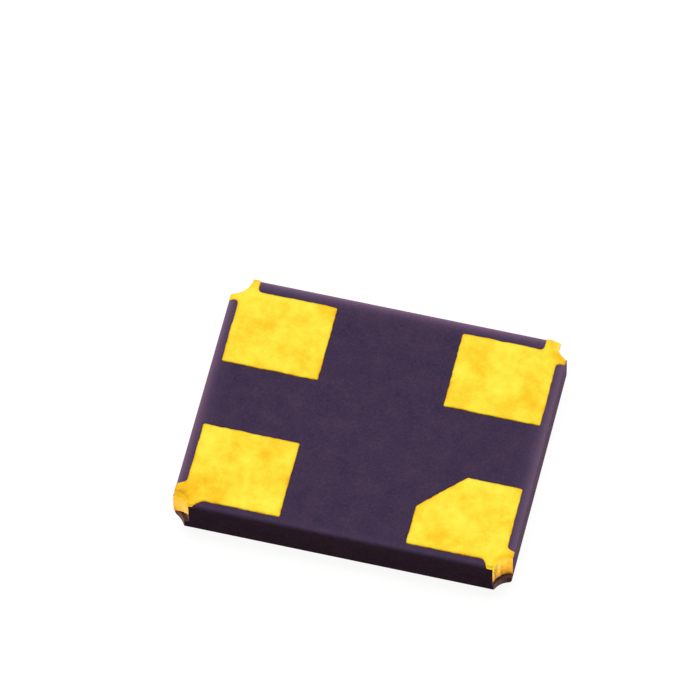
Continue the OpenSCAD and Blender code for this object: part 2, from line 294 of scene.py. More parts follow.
@dataclass(frozen=True)
class Bore:
    """Round hole that cuts a corner.

    Attributes:
        u, v: How far inwards of the corner its middle lies.
        radius: Its radius.
        steepest: Keeps a circle that misses a side just short of square to it.
    """

    u: float
    v: float
    radius: float
    steepest: ClassVar[float] = 0.98

    @property
    def middle(self) -> np.ndarray:
        """Middle of the circle, as u and v."""
        return np.array((self.u, self.v))

    def at(self, angle: float | np.ndarray, grow: float = 0.0) -> np.ndarray:
        """Points on the circle, at a radius grown by so much, as u and v."""
        r = self.radius + grow
        return np.stack([self.u + r * np.cos(angle), self.v + r * np.sin(angle)], axis=-1)

    def grown(self, more: float) -> "Bore":
        """The bore with its radius grown by so much."""
        return Bore(self.u, self.v, self.radius + more)

    def ends(self, insets: Pair, grow: float = 0.0) -> Pair:
        """Angles at which the circle meets the lines at an inset from the X side and from the Y side."""
        along, across = (min(self.steepest, (inset - middle) / (self.radius + grow))
                         for inset, middle in zip(insets, (self.u, self.v)))
        return math.acos(along), math.asin(across)

    def arc(self, insets: Pair, share: np.ndarray) -> np.ndarray:
        """Points at shares of the way from the Y side to the X side, between insets from the sides."""
        from_x, from_y = self.ends(insets)
        return self.at(from_y + (from_x - from_y) * share)


@dataclass(frozen=True)
class Notch:
    """Notch in a corner of the package: one bore above a height, another one below it."""

    step_z: float
    upper: Bore
    lower: Bore

    def bore(self, z: float) -> Bore:
        """The bore at a height."""
        return self.upper if z > self.step_z else self.lower


@dataclass(frozen=True)
class Outline:
    """Plan of a loop round the package: a rectangle about X with a round turn at each corner.

    Attributes:
        x0, x1, half_y: Its sides.
        radius: Radius of its corners.
        arc_steps, soft_steps, side_steps: Points of a turn, of its arrises and of a side.
    """

    x0: float
    x1: float
    half_y: float
    radius: float = 0.0
    arc_steps: int = 20
    soft_steps: int = 3
    side_steps: int = 10

    def plain_turn(self) -> list[Pair]:
        """Round turn from the X side to the Y side, as offsets inwards of the corner."""
        r, steps = self.radius, self.arc_steps + 2 * self.soft_steps
        return [(r - r * math.cos(a), r - r * math.sin(a)) for a in quarter(steps + 1)]

    def turn(self, corner: Corner) -> list[Pair]:
        """Turn at one corner."""
        return self.plain_turn()

    def points(self, z: float) -> list[Point]:
        """Closed loop at a height.

        Args:
            z: Height of the loop.

        Returns:
            Its points, anticlockwise from the corner at +X +Y.
        """
        turns: list[list[Pair]] = []
        for corner in (Corner.BACK_RIGHT, Corner.BACK_LEFT, Corner.FRONT_LEFT, Corner.FRONT_RIGHT):
            sx, sy = corner.value
            edge = self.x1 if sx > 0 else self.x0
            turn = [(edge - sx * u, sy * (self.half_y - v)) for u, v in self.turn(corner)]
            turns.append(turn if sx * sy > 0 else turn[::-1])
        flat: list[Point] = []
        for turn, following in zip(turns, turns[1:] + turns[:1]):
            flat += [(x, y, z) for x, y in turn]
            (ax, ay), (bx, by) = turn[-1], following[0]
            for k in range(1, self.side_steps):
                t = k / self.side_steps
                flat.append((ax + (bx - ax) * t, ay + (by - ay) * t, z))
        return flat


@dataclass(frozen=True)
class NotchedOutline(Outline):
    """Outline whose corners are cut by bores, with softened arrises.

    Attributes:
        bores: The bore that cuts each corner.
        inset, front_inset: How far the loop lies in from the sides, and from the front side.
        soft: Rounding of the arrises.
    """

    bores: dict[Corner, Bore] = field(default_factory=dict)
    inset: float = 0.0
    front_inset: float = 0.0
    soft: float = 0.006

    def turn(self, corner: Corner) -> list[Pair]:
        """Turn at a corner. A bore that doesn't reach the insets leaves a plain small turn.

        Args:
            corner: The corner.

        Returns:
            Offsets inwards of the corner, from its X side to its Y side.
        """
        bore, soft = self.bores[corner], self.soft
        inset_y = self.front_inset if corner.value[1] < 0 else self.inset
        from_x, from_y = bore.ends((self.inset + soft, inset_y + soft), soft)
        if from_x < from_y:
            return [(self.inset + u, inset_y + v) for u, v in replace(self, radius=soft).plain_turn()]
        share = np.arange(self.soft_steps) / self.soft_steps
        first = bore.at(from_x, soft) + soft * self.spokes(math.pi + share * from_x)
        arc = bore.at(np.linspace(from_x, from_y, self.arc_steps + 1))
        rest = (1 - share[::-1]) * (math.pi / 2 - from_y)
        last = bore.at(from_y, soft) + soft * self.spokes(math.pi + from_y + rest)
        return [tuple(p) for p in np.vstack([first, arc, last])]

    @staticmethod
    def spokes(angles: np.ndarray) -> np.ndarray:
        """Unit vectors at these angles."""
        return np.column_stack([np.cos(angles), np.sin(angles)])


def block(extent: Extent, levels: Sequence[Pair], name: str, radius: float, slot: Slot, finish: "Finish",
          node: str, **steps: int) -> None:
    """Makes a block with round corners that stands for a CAD node.

    Args:
        extent: Box of the node.
        levels: Inset from the box and height of each loop.
        name: Name of the piece.
        radius: Radius of its corners.
        slot: Its material slot. Not used.
        finish: Its finish.
        node: The node.
        steps: How finely its outline is divided.
    """
    form = Form()
    form.loft([form.loop(Outline(extent.low[0] + i, extent.high[0] - i, extent.size[1] / 2 - i, radius,
                                 **steps).points(z)) for i, z in levels])
    settle(form.piece(name), finish, [node])


# --- Node trees ---


def opaque(colour: object) -> object:
    """A linear colour with full alpha. A socket stays as it is."""
    return colour if isinstance(colour, bpy.types.NodeSocket) else (*colour, 1.0)


def scaled(colour: Colour, factor: float) -> Colour:
    """A linear colour made lighter or darker."""
    return tuple(min(1.0, c * factor) for c in colour)


class Bench:
    """Node tree while it is wired: one call adds a node with its settings and what feeds it."""

    def __init__(self, tree: bpy.types.NodeTree) -> None:
        """Starts on a tree, and empties it."""
        self.tree = tree
        tree.nodes.clear()

    def fill(self, node: bpy.types.Node, inputs: dict[str | int, object]) -> None:
        """Feeds a node's inputs: a socket is linked, and anything else is set.

        Args:
            node: The node.
            inputs: What feeds each input, by its name or number.
        """
        for key, value in inputs.items():
            if isinstance(value, bpy.types.NodeSocket):
                self.tree.links.new(value, node.inputs[key])
            else:
                node.inputs[key].default_value = value

    def node(self, kind: str, inputs: dict[str | int, object] | None = None,
             **settings: object) -> bpy.types.Node:
        """Adds a node.

        Args:
            kind: Type of the node.
            inputs: What feeds it, by the input's name or number.
            settings: Its own properties.

        Returns:
            The node.
        """
        made = self.tree.nodes.new(kind)
        for key, value in settings.items():
            setattr(made, key, value)
        self.fill(made, inputs or {})
        return made


class Shading(Bench):
    """Shader tree, with short calls for what finishes, floor and room share."""

    def surface(self, shader: Socket, output: str = "ShaderNodeOutputMaterial") -> None:
        """Ends the tree in a shader."""
        self.node(output, {"Surface": shader})

    def span(self, source: Socket, low: float, high: float,
             to_low: float = 0.0, to_high: float = 1.0) -> Socket:
        """Maps low to high onto to_low to to_high, held at its ends."""
        return self.node("ShaderNodeMapRange", {
            "Value": source, "From Min": low, "From Max": high, "To Min": to_low, "To Max": to_high,
        }, clamp=True).outputs["Result"]

    def sum(self, a: Socket, b: Socket, share: float) -> Socket:
        """a plus share times b."""
        return self.node("ShaderNodeMath", {0: b, 1: share, 2: a}, operation="MULTIPLY_ADD").outputs[0]

    def math(self, operation: str, *values: object) -> Socket:
        """Arithmetic on values, each a socket or a number."""
        return self.node("ShaderNodeMath", dict(enumerate(values)), operation=operation).outputs[0]

    def plain(self, kind: str, colour: Colour) -> Socket:
        """A shader of one colour."""
        return self.node(kind, {"Color": opaque(colour)}).outputs[0]

    def lit(self, shade: float, glow: Colour) -> Socket:
        """A grey surface that also glows in a colour."""
        grey = self.plain("ShaderNodeBsdfDiffuse", (shade,) * 3)
        glowing = self.plain("ShaderNodeEmission", glow)
        return self.node("ShaderNodeAddShader", {0: grey, 1: glowing}).outputs[0]

    def background(self, level: object, colour: Colour) -> Socket:
        """A background of one colour, its level a socket or a number."""
        return self.node("ShaderNodeBackground", {"Color": opaque(colour), "Strength": level}).outputs[0]

    def either(self, share: Socket, a: Socket, b: Socket) -> Socket:
        """Shader a where the share is 0, shader b where it is 1."""
        return self.node("ShaderNodeMixShader", {0: share, 1: a, 2: b}).outputs[0]

    def in_polish(self) -> Socket:
        """1 on a ray that a polished or clear surface sends, otherwise 0."""
        path = self.node("ShaderNodeLightPath").outputs
        return self.math("MAXIMUM", path["Is Glossy Ray"], path["Is Transmission Ray"])

    def to_camera(self) -> Socket:
        """1 on a ray from the camera itself, otherwise 0."""
        return self.node("ShaderNodeLightPath").outputs["Is Camera Ray"]


class Recipe(Shading):
    """Material of a piece: one Principled shader and the patterns that feed it."""

    def __init__(self, name: str) -> None:
        """Makes the material with a Principled shader and nothing else.

        Args:
            name: Name of the material.
        """
        self.material = bpy.data.materials.new(name)
        self.material.use_nodes = True
        super().__init__(self.material.node_tree)
        self.shader = self.node("ShaderNodeBsdfPrincipled")
        self.surface(self.shader.outputs[0])

    def place(self, stretch: Point = (1.0, 1.0, 1.0)) -> Socket:
        """Object coordinates in millimetres. A stretch below 1 draws a pattern out along its axis."""
        return self.node("ShaderNodeMapping", {
            "Vector": self.node("ShaderNodeTexCoord").outputs["Object"],
            "Scale": tuple(s / MM for s in stretch)}).outputs["Vector"]

    def tone(self) -> Socket:
        """The piece's own tone, 0 on a piece that has none."""
        return self.node("ShaderNodeAttribute", attribute_type="GEOMETRY", attribute_name=TONE).outputs["Fac"]

    def noise(self, place: Socket, per_mm: float, detail: float = 2.0,
              rough: float = 0.5, warp: float = 0.0) -> Socket:
        """Noise that swings about per_mm times in a millimetre, from 0 to 1."""
        return self.node("ShaderNodeTexNoise", {
            "Vector": place, "Scale": per_mm, "Detail": detail, "Roughness": rough, "Distortion": warp,
        }, noise_dimensions="3D").outputs["Fac"]

    def cells(self, place: Socket, per_mm: float, distance: str = "EUCLIDEAN", jumble: float = 1.0) -> Socket:
        """Distance to the middle of the nearest of about per_mm cells in a millimetre."""
        return self.node("ShaderNodeTexVoronoi", {
            "Vector": place, "Scale": per_mm, "Randomness": jumble,
        }, feature="F1", distance=distance).outputs["Distance"]

    def ramp(self, source: Socket, stops: Sequence[tuple[float, Colour]]) -> Socket:
        """Colours along a value.

        Args:
            source: The value.
            stops: Places from 0 to 1 with their linear colours.

        Returns:
            The colour socket.
        """
        made = self.node("ShaderNodeValToRGB", {"Fac": source})
        elements = made.color_ramp.elements
        while len(elements) < len(stops):
            elements.new(0.5)
        for element, (position, colour) in zip(elements, stops):
            element.position = position
            element.color = opaque(colour)
        return made.outputs["Color"]

    def mix(self, factor: Socket, a: object, b: object) -> Socket:
        """Mixes two colours, each a socket or a linear colour."""
        values = {0: factor, 6: opaque(a), 7: opaque(b)}
        return self.node("ShaderNodeMix", values, data_type="RGBA").outputs[2]

    def feed(self, **values: object) -> None:
        """Feeds the shader's own sockets. An underscore stands for a space."""
        self.fill(self.shader, {key.replace("_", " "): value for key, value in values.items()})

    def relief(self, height: Socket, depth_mm: float) -> None:
        """Bumps the surface by a height of 0 to 1 times a depth."""
        bump = self.node("ShaderNodeBump", {"Strength": 1.0, "Distance": depth_mm * MM, "Height": height})
        self.feed(Normal=bump.outputs["Normal"])


# --- Finishes ---


@dataclass(frozen=True)
class Finish:
    """A surface finish. Its material is made once and shared."""

    name: str

    def material(self) -> bpy.types.Material:
        """The material of this finish.

        Returns:
            The material, made at the first call.
        """
        found = bpy.data.materials.get(self.name)
        if found is None:
            recipe = Recipe(self.name)
            self.mix(recipe)
            found = recipe.material
        return found

    def mix(self, recipe: Recipe) -> None:
        """Builds the nodes of this finish.

        Args:
            recipe: Takes the nodes.
        """
        raise NotImplementedError


@dataclass(frozen=True)
class FiredAlumina(Finish):
    """Dark purple fired ceramic: sintered grain and faint clouds.

    A tone below 0 pales its rounded edges as painted rim light, and one above 0 gives its bare notches a
    brown stain with painted warm light bounced off the gold.

    Attributes:
        base, warm, cool: The ceramic's own colours.
        worn, bled: Colours of the painted rim light, and of the notch stain with its painted bounce light.
        grain_per_mm, cloud_per_mm, patch_per_mm: Swings of each noise in a millimetre.
        grain_dark, grain_light: Darkest and palest grain against the base colour.
        grain_share, stain_and_bounce_share: How much of grain, and of stain with painted bounce light, shows
            in one patch and in another.
        roughness, gloss, relief_mm: Roughness from grain to grain, mirror share and depth of the grain.
    """

    base: Colour = (0.0392, 0.0250, 0.0535)
    warm: Colour = (0.0500, 0.0300, 0.0580)
    cool: Colour = (0.0308, 0.0212, 0.0500)
    # Painted rim light: the rounded edges paler, as if lit from the sides.
    painted_rim_light: Colour = (0.068, 0.043, 0.086)
    # Brown stain of the bare notches, with painted warm light bounced off the gold.
    stain_and_bounce: Colour = (0.085, 0.047, 0.042)
    grain_per_mm: float = 42.0
    cloud_per_mm: float = 5.0
    patch_per_mm: float = 16.0
    grain_dark: float = 0.60
    grain_light: float = 1.7
    grain_share: Pair = (0.32, 0.60)
    stain_and_bounce_share: Pair = (0.65, 1.0)
    roughness: Pair = (0.66, 0.50)
    gloss: float = 0.004
    relief_mm: float = 0.0009

    def mix(self, recipe: Recipe) -> None:
        """Builds the nodes of this finish.

        Args:
            recipe: Takes the nodes.
        """
        place = recipe.place()
        grain = recipe.noise(place, self.grain_per_mm, detail=3.0, rough=0.65)
        clouds = recipe.noise(place, self.cloud_per_mm, detail=3.0, rough=0.6)
        patches = recipe.noise(place, self.patch_per_mm, detail=2.0, rough=0.6)
        tint = recipe.ramp(clouds, [(0.34, self.cool), (0.50, self.base), (0.66, self.warm)])
        fine = recipe.ramp(grain, [(0.25, scaled(self.base, self.grain_dark)), (0.5, self.base),
                                   (0.78, scaled(self.base, self.grain_light))])
        sintered = recipe.mix(recipe.span(patches, 0.3, 0.7, *self.grain_share), tint, fine)
        tone = recipe.tone()
        # A tone below 0 paints rim light: the rounded edges paler, as if lit from the sides.
        with_rim_light = recipe.mix(recipe.math("MULTIPLY", tone, -1.0), sintered, self.painted_rim_light)
        # A tone above 0 paints the notch stain with warm light bounced off the gold.
        stain_and_bounce_mask = recipe.math("MULTIPLY", tone, recipe.span(patches, 0.25, 0.75, *self.stain_and_bounce_share))
        recipe.feed(Base_Color=recipe.mix(stain_and_bounce_mask, with_rim_light, self.stain_and_bounce),
                    Roughness=recipe.span(grain, 0.2, 0.8, *self.roughness), Specular_IOR_Level=self.gloss)
        recipe.relief(recipe.sum(grain, patches, 0.6), self.relief_mm)


@dataclass(frozen=True)
class Plating(Finish):
    """Metal film over fired paste: satin, softly mottled, and deeper with the piece's tone, which paints
    shade on the terminals.

    Attributes:
        light, plain, deep, burnt: Colours from the palest film to the deepest; beyond deep they are reached
            only through the painted shade of the tone.
        cloud_per_mm, mottle_per_mm, grain_per_mm: Swings of each noise in a millimetre.
        cloud_share, mottle_share, grain_share: How much each noise counts.
        depth: How deep the film's colour is, in the noise's hollows and on its tops.
        roughness, relief_mm: Roughness from hollow to top and depth of the relief.
    """

    light: Colour = (1.0, 0.90, 0.085)
    plain: Colour = (1.0, 0.82, 0.058)
    deep: Colour = (1.0, 0.60, 0.020)
    painted_shade_deepest: Colour = (0.62, 0.235, 0.022)
    cloud_per_mm: float = 3.2
    cloud_share: float = 0.62
    mottle_per_mm: float = 11.0
    mottle_share: float = 0.34
    grain_per_mm: float = 48.0
    grain_share: float = 0.14
    depth: Pair = (1.10, 0.0)
    roughness: Pair = (0.48, 0.34)
    relief_mm: float = 0.0011

    def mix(self, recipe: Recipe) -> None:
        """Builds the nodes of this finish.

        Args:
            recipe: Takes the nodes.
        """
        place = recipe.place()
        clouds = recipe.noise(place, self.cloud_per_mm, detail=2.0, rough=0.5)
        mottle = recipe.noise(place, self.mottle_per_mm, detail=3.0, rough=0.62)
        grain = recipe.noise(place, self.grain_per_mm, detail=2.0, rough=0.6)
        marks = recipe.sum(recipe.math("MULTIPLY", mottle, self.mottle_share), grain, self.grain_share)
        blend = recipe.sum(marks, clouds, self.cloud_share)
        # The piece's tone adds painted shade: on the terminals it darkens printed edges, creases and notch
        # walls.
        depth = recipe.sum(recipe.span(blend, 0.38, 0.74, *self.depth), recipe.tone(), 1.0)
        stops = [(0.04, self.light), (0.24, self.plain), (0.56, self.deep), (1.0, self.painted_shade_deepest)]
        recipe.feed(Base_Color=recipe.ramp(recipe.span(depth, 0.0, 2.0), stops), Metallic=1.0,
                    Roughness=recipe.span(blend, 0.35, 0.7, *self.roughness))
        recipe.relief(recipe.sum(mottle, grain, 0.4), self.relief_mm)


@dataclass(frozen=True)
class RolledMetal(Finish):
    """Satin metal sheet or ring: fine rolling lines, faint stains and small pits.

    Attributes:
        tone, stain, scuff: The metal, its stains, and how much paler the scuffs are.
        lines_per_mm, draw: Swings of the rolling lines in a millimetre and how they are drawn out.
        stains_per_mm, pits_per_mm: Swings of stains and pits in a millimetre.
        roughness, relief_mm: Roughness and depth of the lines.
    """

    tone: Colour = (0.60, 0.575, 0.53)
    stain: Colour = (0.545, 0.52, 0.475)
    scuff: float = 1.16
    lines_per_mm: float = 26.0
    draw: Point = (0.06, 1.0, 1.0)
    stains_per_mm: float = 3.4
    pits_per_mm: float = 30.0
    roughness: float = 0.34
    relief_mm: float = 0.0010

    def mix(self, recipe: Recipe) -> None:
        """Builds the nodes of this finish.

        Args:
            recipe: Takes the nodes.
        """
        even = recipe.place()
        lines = recipe.noise(recipe.place(self.draw), self.lines_per_mm, detail=3.0, rough=0.65)
        clouds = recipe.noise(even, self.stains_per_mm, detail=4.0, rough=0.6, warp=0.6)
        pits = recipe.noise(even, self.pits_per_mm, detail=2.0)
        tint = recipe.ramp(clouds, [(0.38, self.stain), (0.56, self.tone)])
        scuffed = recipe.mix(recipe.span(lines, 0.35, 0.7, 0.0, 0.4), tint, scaled(self.tone, self.scuff))
        dull = recipe.span(clouds, 0.3, 0.7, self.roughness + 0.12, self.roughness - 0.05)
        recipe.feed(Base_Color=scuffed, Roughness=dull, Metallic=1.0)
        recipe.relief(recipe.sum(lines, recipe.span(pits, 0.66, 0.8), -0.8), self.relief_mm)


@dataclass(frozen=True)
class FilledAdhesive(Finish):
    """Silver-filled adhesive: flakes that catch the light in a dull paste."""

    paste: Colour = (0.30, 0.29, 0.27)
    flake: Colour = (0.62, 0.61, 0.58)
    flakes_per_mm: float = 60.0
    lumps_per_mm: float = 14.0
    roughness: Pair = (0.38, 0.7)
    relief_mm: float = 0.004

    def mix(self, recipe: Recipe) -> None:
        """Builds the nodes of this finish.

        Args:
            recipe: Takes the nodes.
        """
        place = recipe.place()
        from_flake = recipe.cells(place, self.flakes_per_mm)
        glint = recipe.span(from_flake, 0.1, 0.5, 1.0, 0.0)
        recipe.feed(Base_Color=recipe.mix(glint, self.paste, self.flake), Metallic=0.6,
                    Roughness=recipe.span(from_flake, 0.1, 0.5, *self.roughness))
        lumps = recipe.noise(place, self.lumps_per_mm, detail=3.0)
        recipe.relief(recipe.sum(lumps, glint, 0.3), self.relief_mm)


@dataclass(frozen=True)
class PolishedSilicon(Finish):
    """Die under passivation: blocks and routing lines of the circuit in slightly varied greys."""

    ground: Colour = (0.055, 0.070, 0.105)
    ground_light: float = 1.7
    metal: Colour = (0.30, 0.29, 0.33)
    blocks_per_mm: float = 7.0
    rows_per_mm: float = 42.0
    relief_mm: float = 0.0006

    def mix(self, recipe: Recipe) -> None:
        """Builds the nodes of this finish.

        Args:
            recipe: Takes the nodes.
        """
        place = recipe.place()
        from_block = recipe.cells(place, self.blocks_per_mm, "CHEBYCHEV", jumble=0.55)
        rows = recipe.node("ShaderNodeTexBrick", {
            "Vector": place, "Scale": self.rows_per_mm, "Mortar Size": 0.03, "Color1": opaque(self.ground),
            "Color2": opaque(scaled(self.ground, self.ground_light)), "Mortar": opaque(self.metal)})
        seams = recipe.span(from_block, 0.36, 0.42)
        recipe.feed(Base_Color=recipe.mix(seams, rows.outputs["Color"], self.metal), Metallic=0.25,
                    Roughness=recipe.span(from_block, 0.2, 0.5, 0.16, 0.3), Coat_Weight=0.5)
        recipe.relief(seams, self.relief_mm)


@dataclass(frozen=True)
class LappedQuartz(Finish):
    """Quartz blank: clear with a fine etched haze."""

    tint: Colour = (0.86, 0.91, 0.94)
    tint_light: float = 1.06
    etch_per_mm: float = 55.0
    haze_per_mm: float = 4.0
    relief_mm: float = 0.0005

    def mix(self, recipe: Recipe) -> None:
        """Builds the nodes of this finish.

        Args:
            recipe: Takes the nodes.
        """
        place = recipe.place()
        haze = recipe.noise(place, self.haze_per_mm, detail=3.0)
        stops = [(0.35, self.tint), (0.65, scaled(self.tint, self.tint_light))]
        recipe.feed(Base_Color=recipe.ramp(haze, stops), Roughness=recipe.span(haze, 0.3, 0.7, 0.16, 0.30),
                    Transmission_Weight=0.75, IOR=1.54)
        recipe.relief(recipe.noise(place, self.etch_per_mm, detail=2.0), self.relief_mm)


@dataclass(frozen=True)
class MetalFilm(Finish):
    """Thin evaporated or drawn metal: even colour with a faint fine grain."""

    tone: Colour = (0.86, 0.86, 0.84)
    dim: float = 0.82
    roughness: float = 0.28
    grain_per_mm: float = 70.0
    cloud_per_mm: float = 5.0
    relief_mm: float = 0.0005

    def mix(self, recipe: Recipe) -> None:
        """Builds the nodes of this finish.

        Args:
            recipe: Takes the nodes.
        """
        place = recipe.place()
        grain = recipe.noise(place, self.grain_per_mm, detail=2.0)
        clouds = recipe.noise(place, self.cloud_per_mm, detail=3.0)
        recipe.feed(Base_Color=recipe.ramp(clouds, [(0.3, scaled(self.tone, self.dim)), (0.6, self.tone)]),
                    Roughness=recipe.span(grain, 0.3, 0.7, self.roughness, self.roughness + 0.14),
                    Metallic=1.0)
        recipe.relief(grain, self.relief_mm)


# --- Ceramic package ---


@dataclass
class CeramicPackage:
    """Laminated ceramic body with its corner notches and the stepped cavity under the lid.

    Attributes:
        edge_in, front_edge_in, edge_drop: Reach inwards and drop of the terminal face's rounded edge.
        wear, rim_light_start, rim_light_reach, rim_light_fade: How pale painted rim light makes that edge,
        and how this eases off.
        front_edge_light, front_edge_light_fade: Painted light on the front side's edge, fading down its wall.
        flat_share: Size of the flat middle's own loop against the face.
        stain_and_bounce_up, stain_and_bounce_in: How far a notch's stain and painted bounce light climb over
            its step, painting over the step's shade, and spread off its wall.
        rim_r, rim_flat, rim_steps: Rounding of the rim, its flat part and its loops.
        notches: Notch of each corner.
        print_shift: How far the printed terminals lie off the body's middle.
        base_t, bond_layer_t, wall_layer_t: Thickness of the layers from the terminals to the rim.
        wall_w, crystal_shelf_w, end_ledge_w, side_ledge_w, cavity_r, die_gap, cavity_lip: The cavity.
        seam_depth, seam_half, step_half: Groove where layers meet, and half the height of a notch's step.
        edge_steps: Loops of the rounded edge.
        finish: The ceramic.
    """

    edge_in: float = 0.120
    front_edge_in: float = 0.030
    edge_drop: float = 0.050
    # Painted rim light on the rounded edges, and painted light on the front edge down its wall.
    rim_light: float = 0.85
    rim_light_start: float = 0.28
    rim_light_reach: float = 0.10
    rim_light_fade: float = 0.06
    front_edge_light: float = 0.24
    front_edge_light_fade: float = 0.24
    flat_share: float = 0.94
    # The notch stain with its painted bounce light, over the step's shade and just off the wall.
    stain_and_bounce_up: float = 0.10
    stain_and_bounce_in: float = 0.002
    rim_r: float = 0.030
    rim_flat: float = 0.003
    rim_steps: int = 6
    notches: dict[Corner, Notch] = field(default_factory=lambda: {
        Corner.FRONT_RIGHT: Notch(0.280, Bore(-0.020, 0.0, 0.174), Bore(-0.016, -0.042, 0.166)),
        Corner.FRONT_LEFT: Notch(0.310, Bore(0.020, -0.070, 0.163), Bore(-0.097, -0.094, 0.237)),
        Corner.BACK_LEFT: Notch(0.310, Bore(0.0, 0.033, 0.189), Bore(-0.012, 0.020, 0.155)),
        Corner.BACK_RIGHT: Notch(0.473, Bore(-0.012, 0.054, 0.122), Bore(-0.012, 0.0, 0.118))})
    print_shift: Pair = (0.012, -0.031)
    base_t: float = 0.14
    bond_layer_t: float = 0.10
    wall_layer_t: float = 0.12
    wall_w: float = 0.36
    crystal_shelf_w: float = 0.42
    end_ledge_w: float = 0.14
    side_ledge_w: float = 0.15
    cavity_r: float = 0.08
    die_gap: float = 0.10
    cavity_lip: float = 0.008
    seam_depth: float = 0.0004
    seam_half: float = 0.009
    step_half: float = 0.0006
    edge_steps: int = 12
    finish: Finish = FiredAlumina("fired_alumina")

    def __post_init__(self) -> None:
        """Takes the body's place from the CAD."""
        self.extent = Extent.of("ceramic_package")
        self.rim_z, self.face_z = self.extent.low[2], self.extent.high[2]
        self.half_x, self.half_y = self.extent.size[0] / 2, self.extent.size[1] / 2
        self.floor_z = self.face_z - self.base_t
        self.bond_shelf_z = self.floor_z - self.bond_layer_t
        self.crystal_shelf_z = self.rim_z + self.wall_layer_t

    def around(self, inset: float, z: float) -> Outline:
        """Outline of the body's outside at a height, at an inset from its sides.

        Args:
            inset: How far the loop lies in from the sides.
            z: Its height.

        Returns:
            The outline.
        """
        bores = {corner: notch.bore(z) for corner, notch in self.notches.items()}
        front = inset * self.front_edge_in / self.edge_in if z > self.floor_z else inset
        return NotchedOutline(-self.half_x, self.half_x, self.half_y, bores=bores, inset=inset,
                              front_inset=front)

    def edge_widths(self, corner: Corner) -> Pair:
        """How far the terminal face's rounded edge reaches in at a corner, from its X and Y sides."""
        return self.edge_in, self.front_edge_in if corner.value[1] < 0 else self.edge_in

    def side_levels(self) -> list[Pair]:
        """Works out the loops of the body's outside.

        Returns:
            Inset and height of each loop, from the terminal face down.
        """
        levels = [(self.edge_in * (1 - math.cos(a)), self.face_z - self.edge_drop * (1 - math.sin(a)))
                  for a in quarter(self.edge_steps)[::-1]]
        thin, s, w = self.step_half, self.seam_depth, self.seam_half
        seams = (self.floor_z, self.bond_shelf_z, self.crystal_shelf_z)
        for z in seams:
            levels += [(0.0, z + w), (s, z + thin), (s, z - thin), (0.0, z - w)]
        for z in {notch.step_z for notch in self.notches.values()}:
            if min(abs(z - seam) for seam in seams) > w:
                levels += [(0.0, z + thin), (0.0, z - thin)]
        levels.sort(key=lambda level: -level[1])
        return levels + [(self.rim_r * (1 - math.cos(a)), self.rim_z + self.rim_r * (1 - math.sin(a)))
                         for a in quarter(self.rim_steps)]

    def cavity_levels(self) -> list[tuple[Outline, float]]:
        """Works out the loops of the stepped cavity.

        Returns:
            Outline and height of each loop, from the rim to the floor.
        """
        x, y = self.half_x - self.wall_w, self.half_y - self.wall_w
        die, gap, lip, r = Extent.of("oscillator_die"), self.die_gap, self.cavity_lip, self.cavity_r
        shelf = Outline(-x + self.crystal_shelf_w, x - self.end_ledge_w, y - self.side_ledge_w, r)
        well = Outline(die.low[0] - gap, die.high[0] + gap, die.size[1] / 2 + gap, r)
        opening = Outline(-x, x, y, r)
        wide = Outline(-x - lip, x + lip, y + lip, r + lip)
        return [(wide, self.rim_z), (opening, self.rim_z + lip), (opening, self.crystal_shelf_z),
                (shelf, self.crystal_shelf_z), (shelf, self.bond_shelf_z), (well, self.bond_shelf_z),
                (well, self.floor_z)]

    def rim_light_and_stain(self, inset: float, point: Point) -> float:
        """Tone of a point of the outside: below 0 where painted rim light pales the edge, above 0 where the
        notch stain and its painted bounce light lie.

        Args:
            inset: How far the point's loop lies in from the sides.
            point: The point.

        Returns:
            Its tone.
        """
        x, y, z = point
        down = self.face_z - z
        if self.half_y + y < min(self.half_x - abs(x), self.half_y - y):
            # Painted light on the front edge, fading down the front wall.
            pale = self.front_edge_light * max(0.0, 1.0 - down / self.front_edge_light_fade) * (inset < self.edge_in)
        else:
            # Painted rim light on the other sides, strongest out at the edge.
            out = min(1.0, (self.edge_in - inset) / self.rim_light_reach) ** 2
            below = max(0.0, down - self.edge_drop) / self.rim_light_fade
            pale = self.rim_light * (self.rim_light_start + (1 - self.rim_light_start) * out) * max(0.0, 1.0 - below)
        return self.stain_and_bounce_mask(point) - pale

    def stain_and_bounce_mask(self, point: Point) -> float:
        """How much a point of the outside takes the notch stain and its painted bounce light.

        Args:
            point: The point.

        Returns:
            Its share, 1 on the bare wall of a corner notch and otherwise 0.
        """
        x, y, z = point
        notch = self.notches[Corner((1 if x > 0 else -1, 1 if y > 0 else -1))]
        bore = notch.bore(z)
        away = math.hypot(self.half_x - abs(x) - bore.u, self.half_y - abs(y) - bore.v)
        # Above the step the stain paints over the step's shade.
        return float(z < notch.step_z + self.stain_and_bounce_up and away < bore.radius + self.stain_and_bounce_in)

    def build(self) -> None:
        """Makes the body as one loft, from the terminal face round the rim into the cavity."""
        form = Form()
        flat = self.around(self.edge_in, self.face_z).points(self.face_z)
        loops = [form.loop([(self.flat_share * x, self.flat_share * y, z) for x, y, z in flat])]
        for inset, z in self.side_levels():
            points = self.around(inset, z).points(z)
            # Tones paint rim light on the edges, and a stain with bounce light in the notches.
            loops.append(form.loop(points, [self.rim_light_and_stain(inset, p) for p in points]))
        loops.append(form.loop(self.around(self.rim_r + self.rim_flat, self.rim_z).points(self.rim_z)))
        loops += [form.loop(outline.points(z)) for outline, z in self.cavity_levels()]
        form.loft(loops)
        settle(form.piece("ceramic_body"), self.finish, ["ceramic_package"])


# --- Terminals ---


@dataclass(frozen=True)
class Ear:
    """Tab that runs from a pad over the body's edge, beside the corner notch.

    Attributes:
        root, tip: How far from the corner it ends, at the pad and over the edge.
        drop: How far down the rounded edge it reaches.
        tip_r: Radius of its outer corner.
    """

    root: float
    tip: float
    drop: float = 0.040
    tip_r: float = 0.010


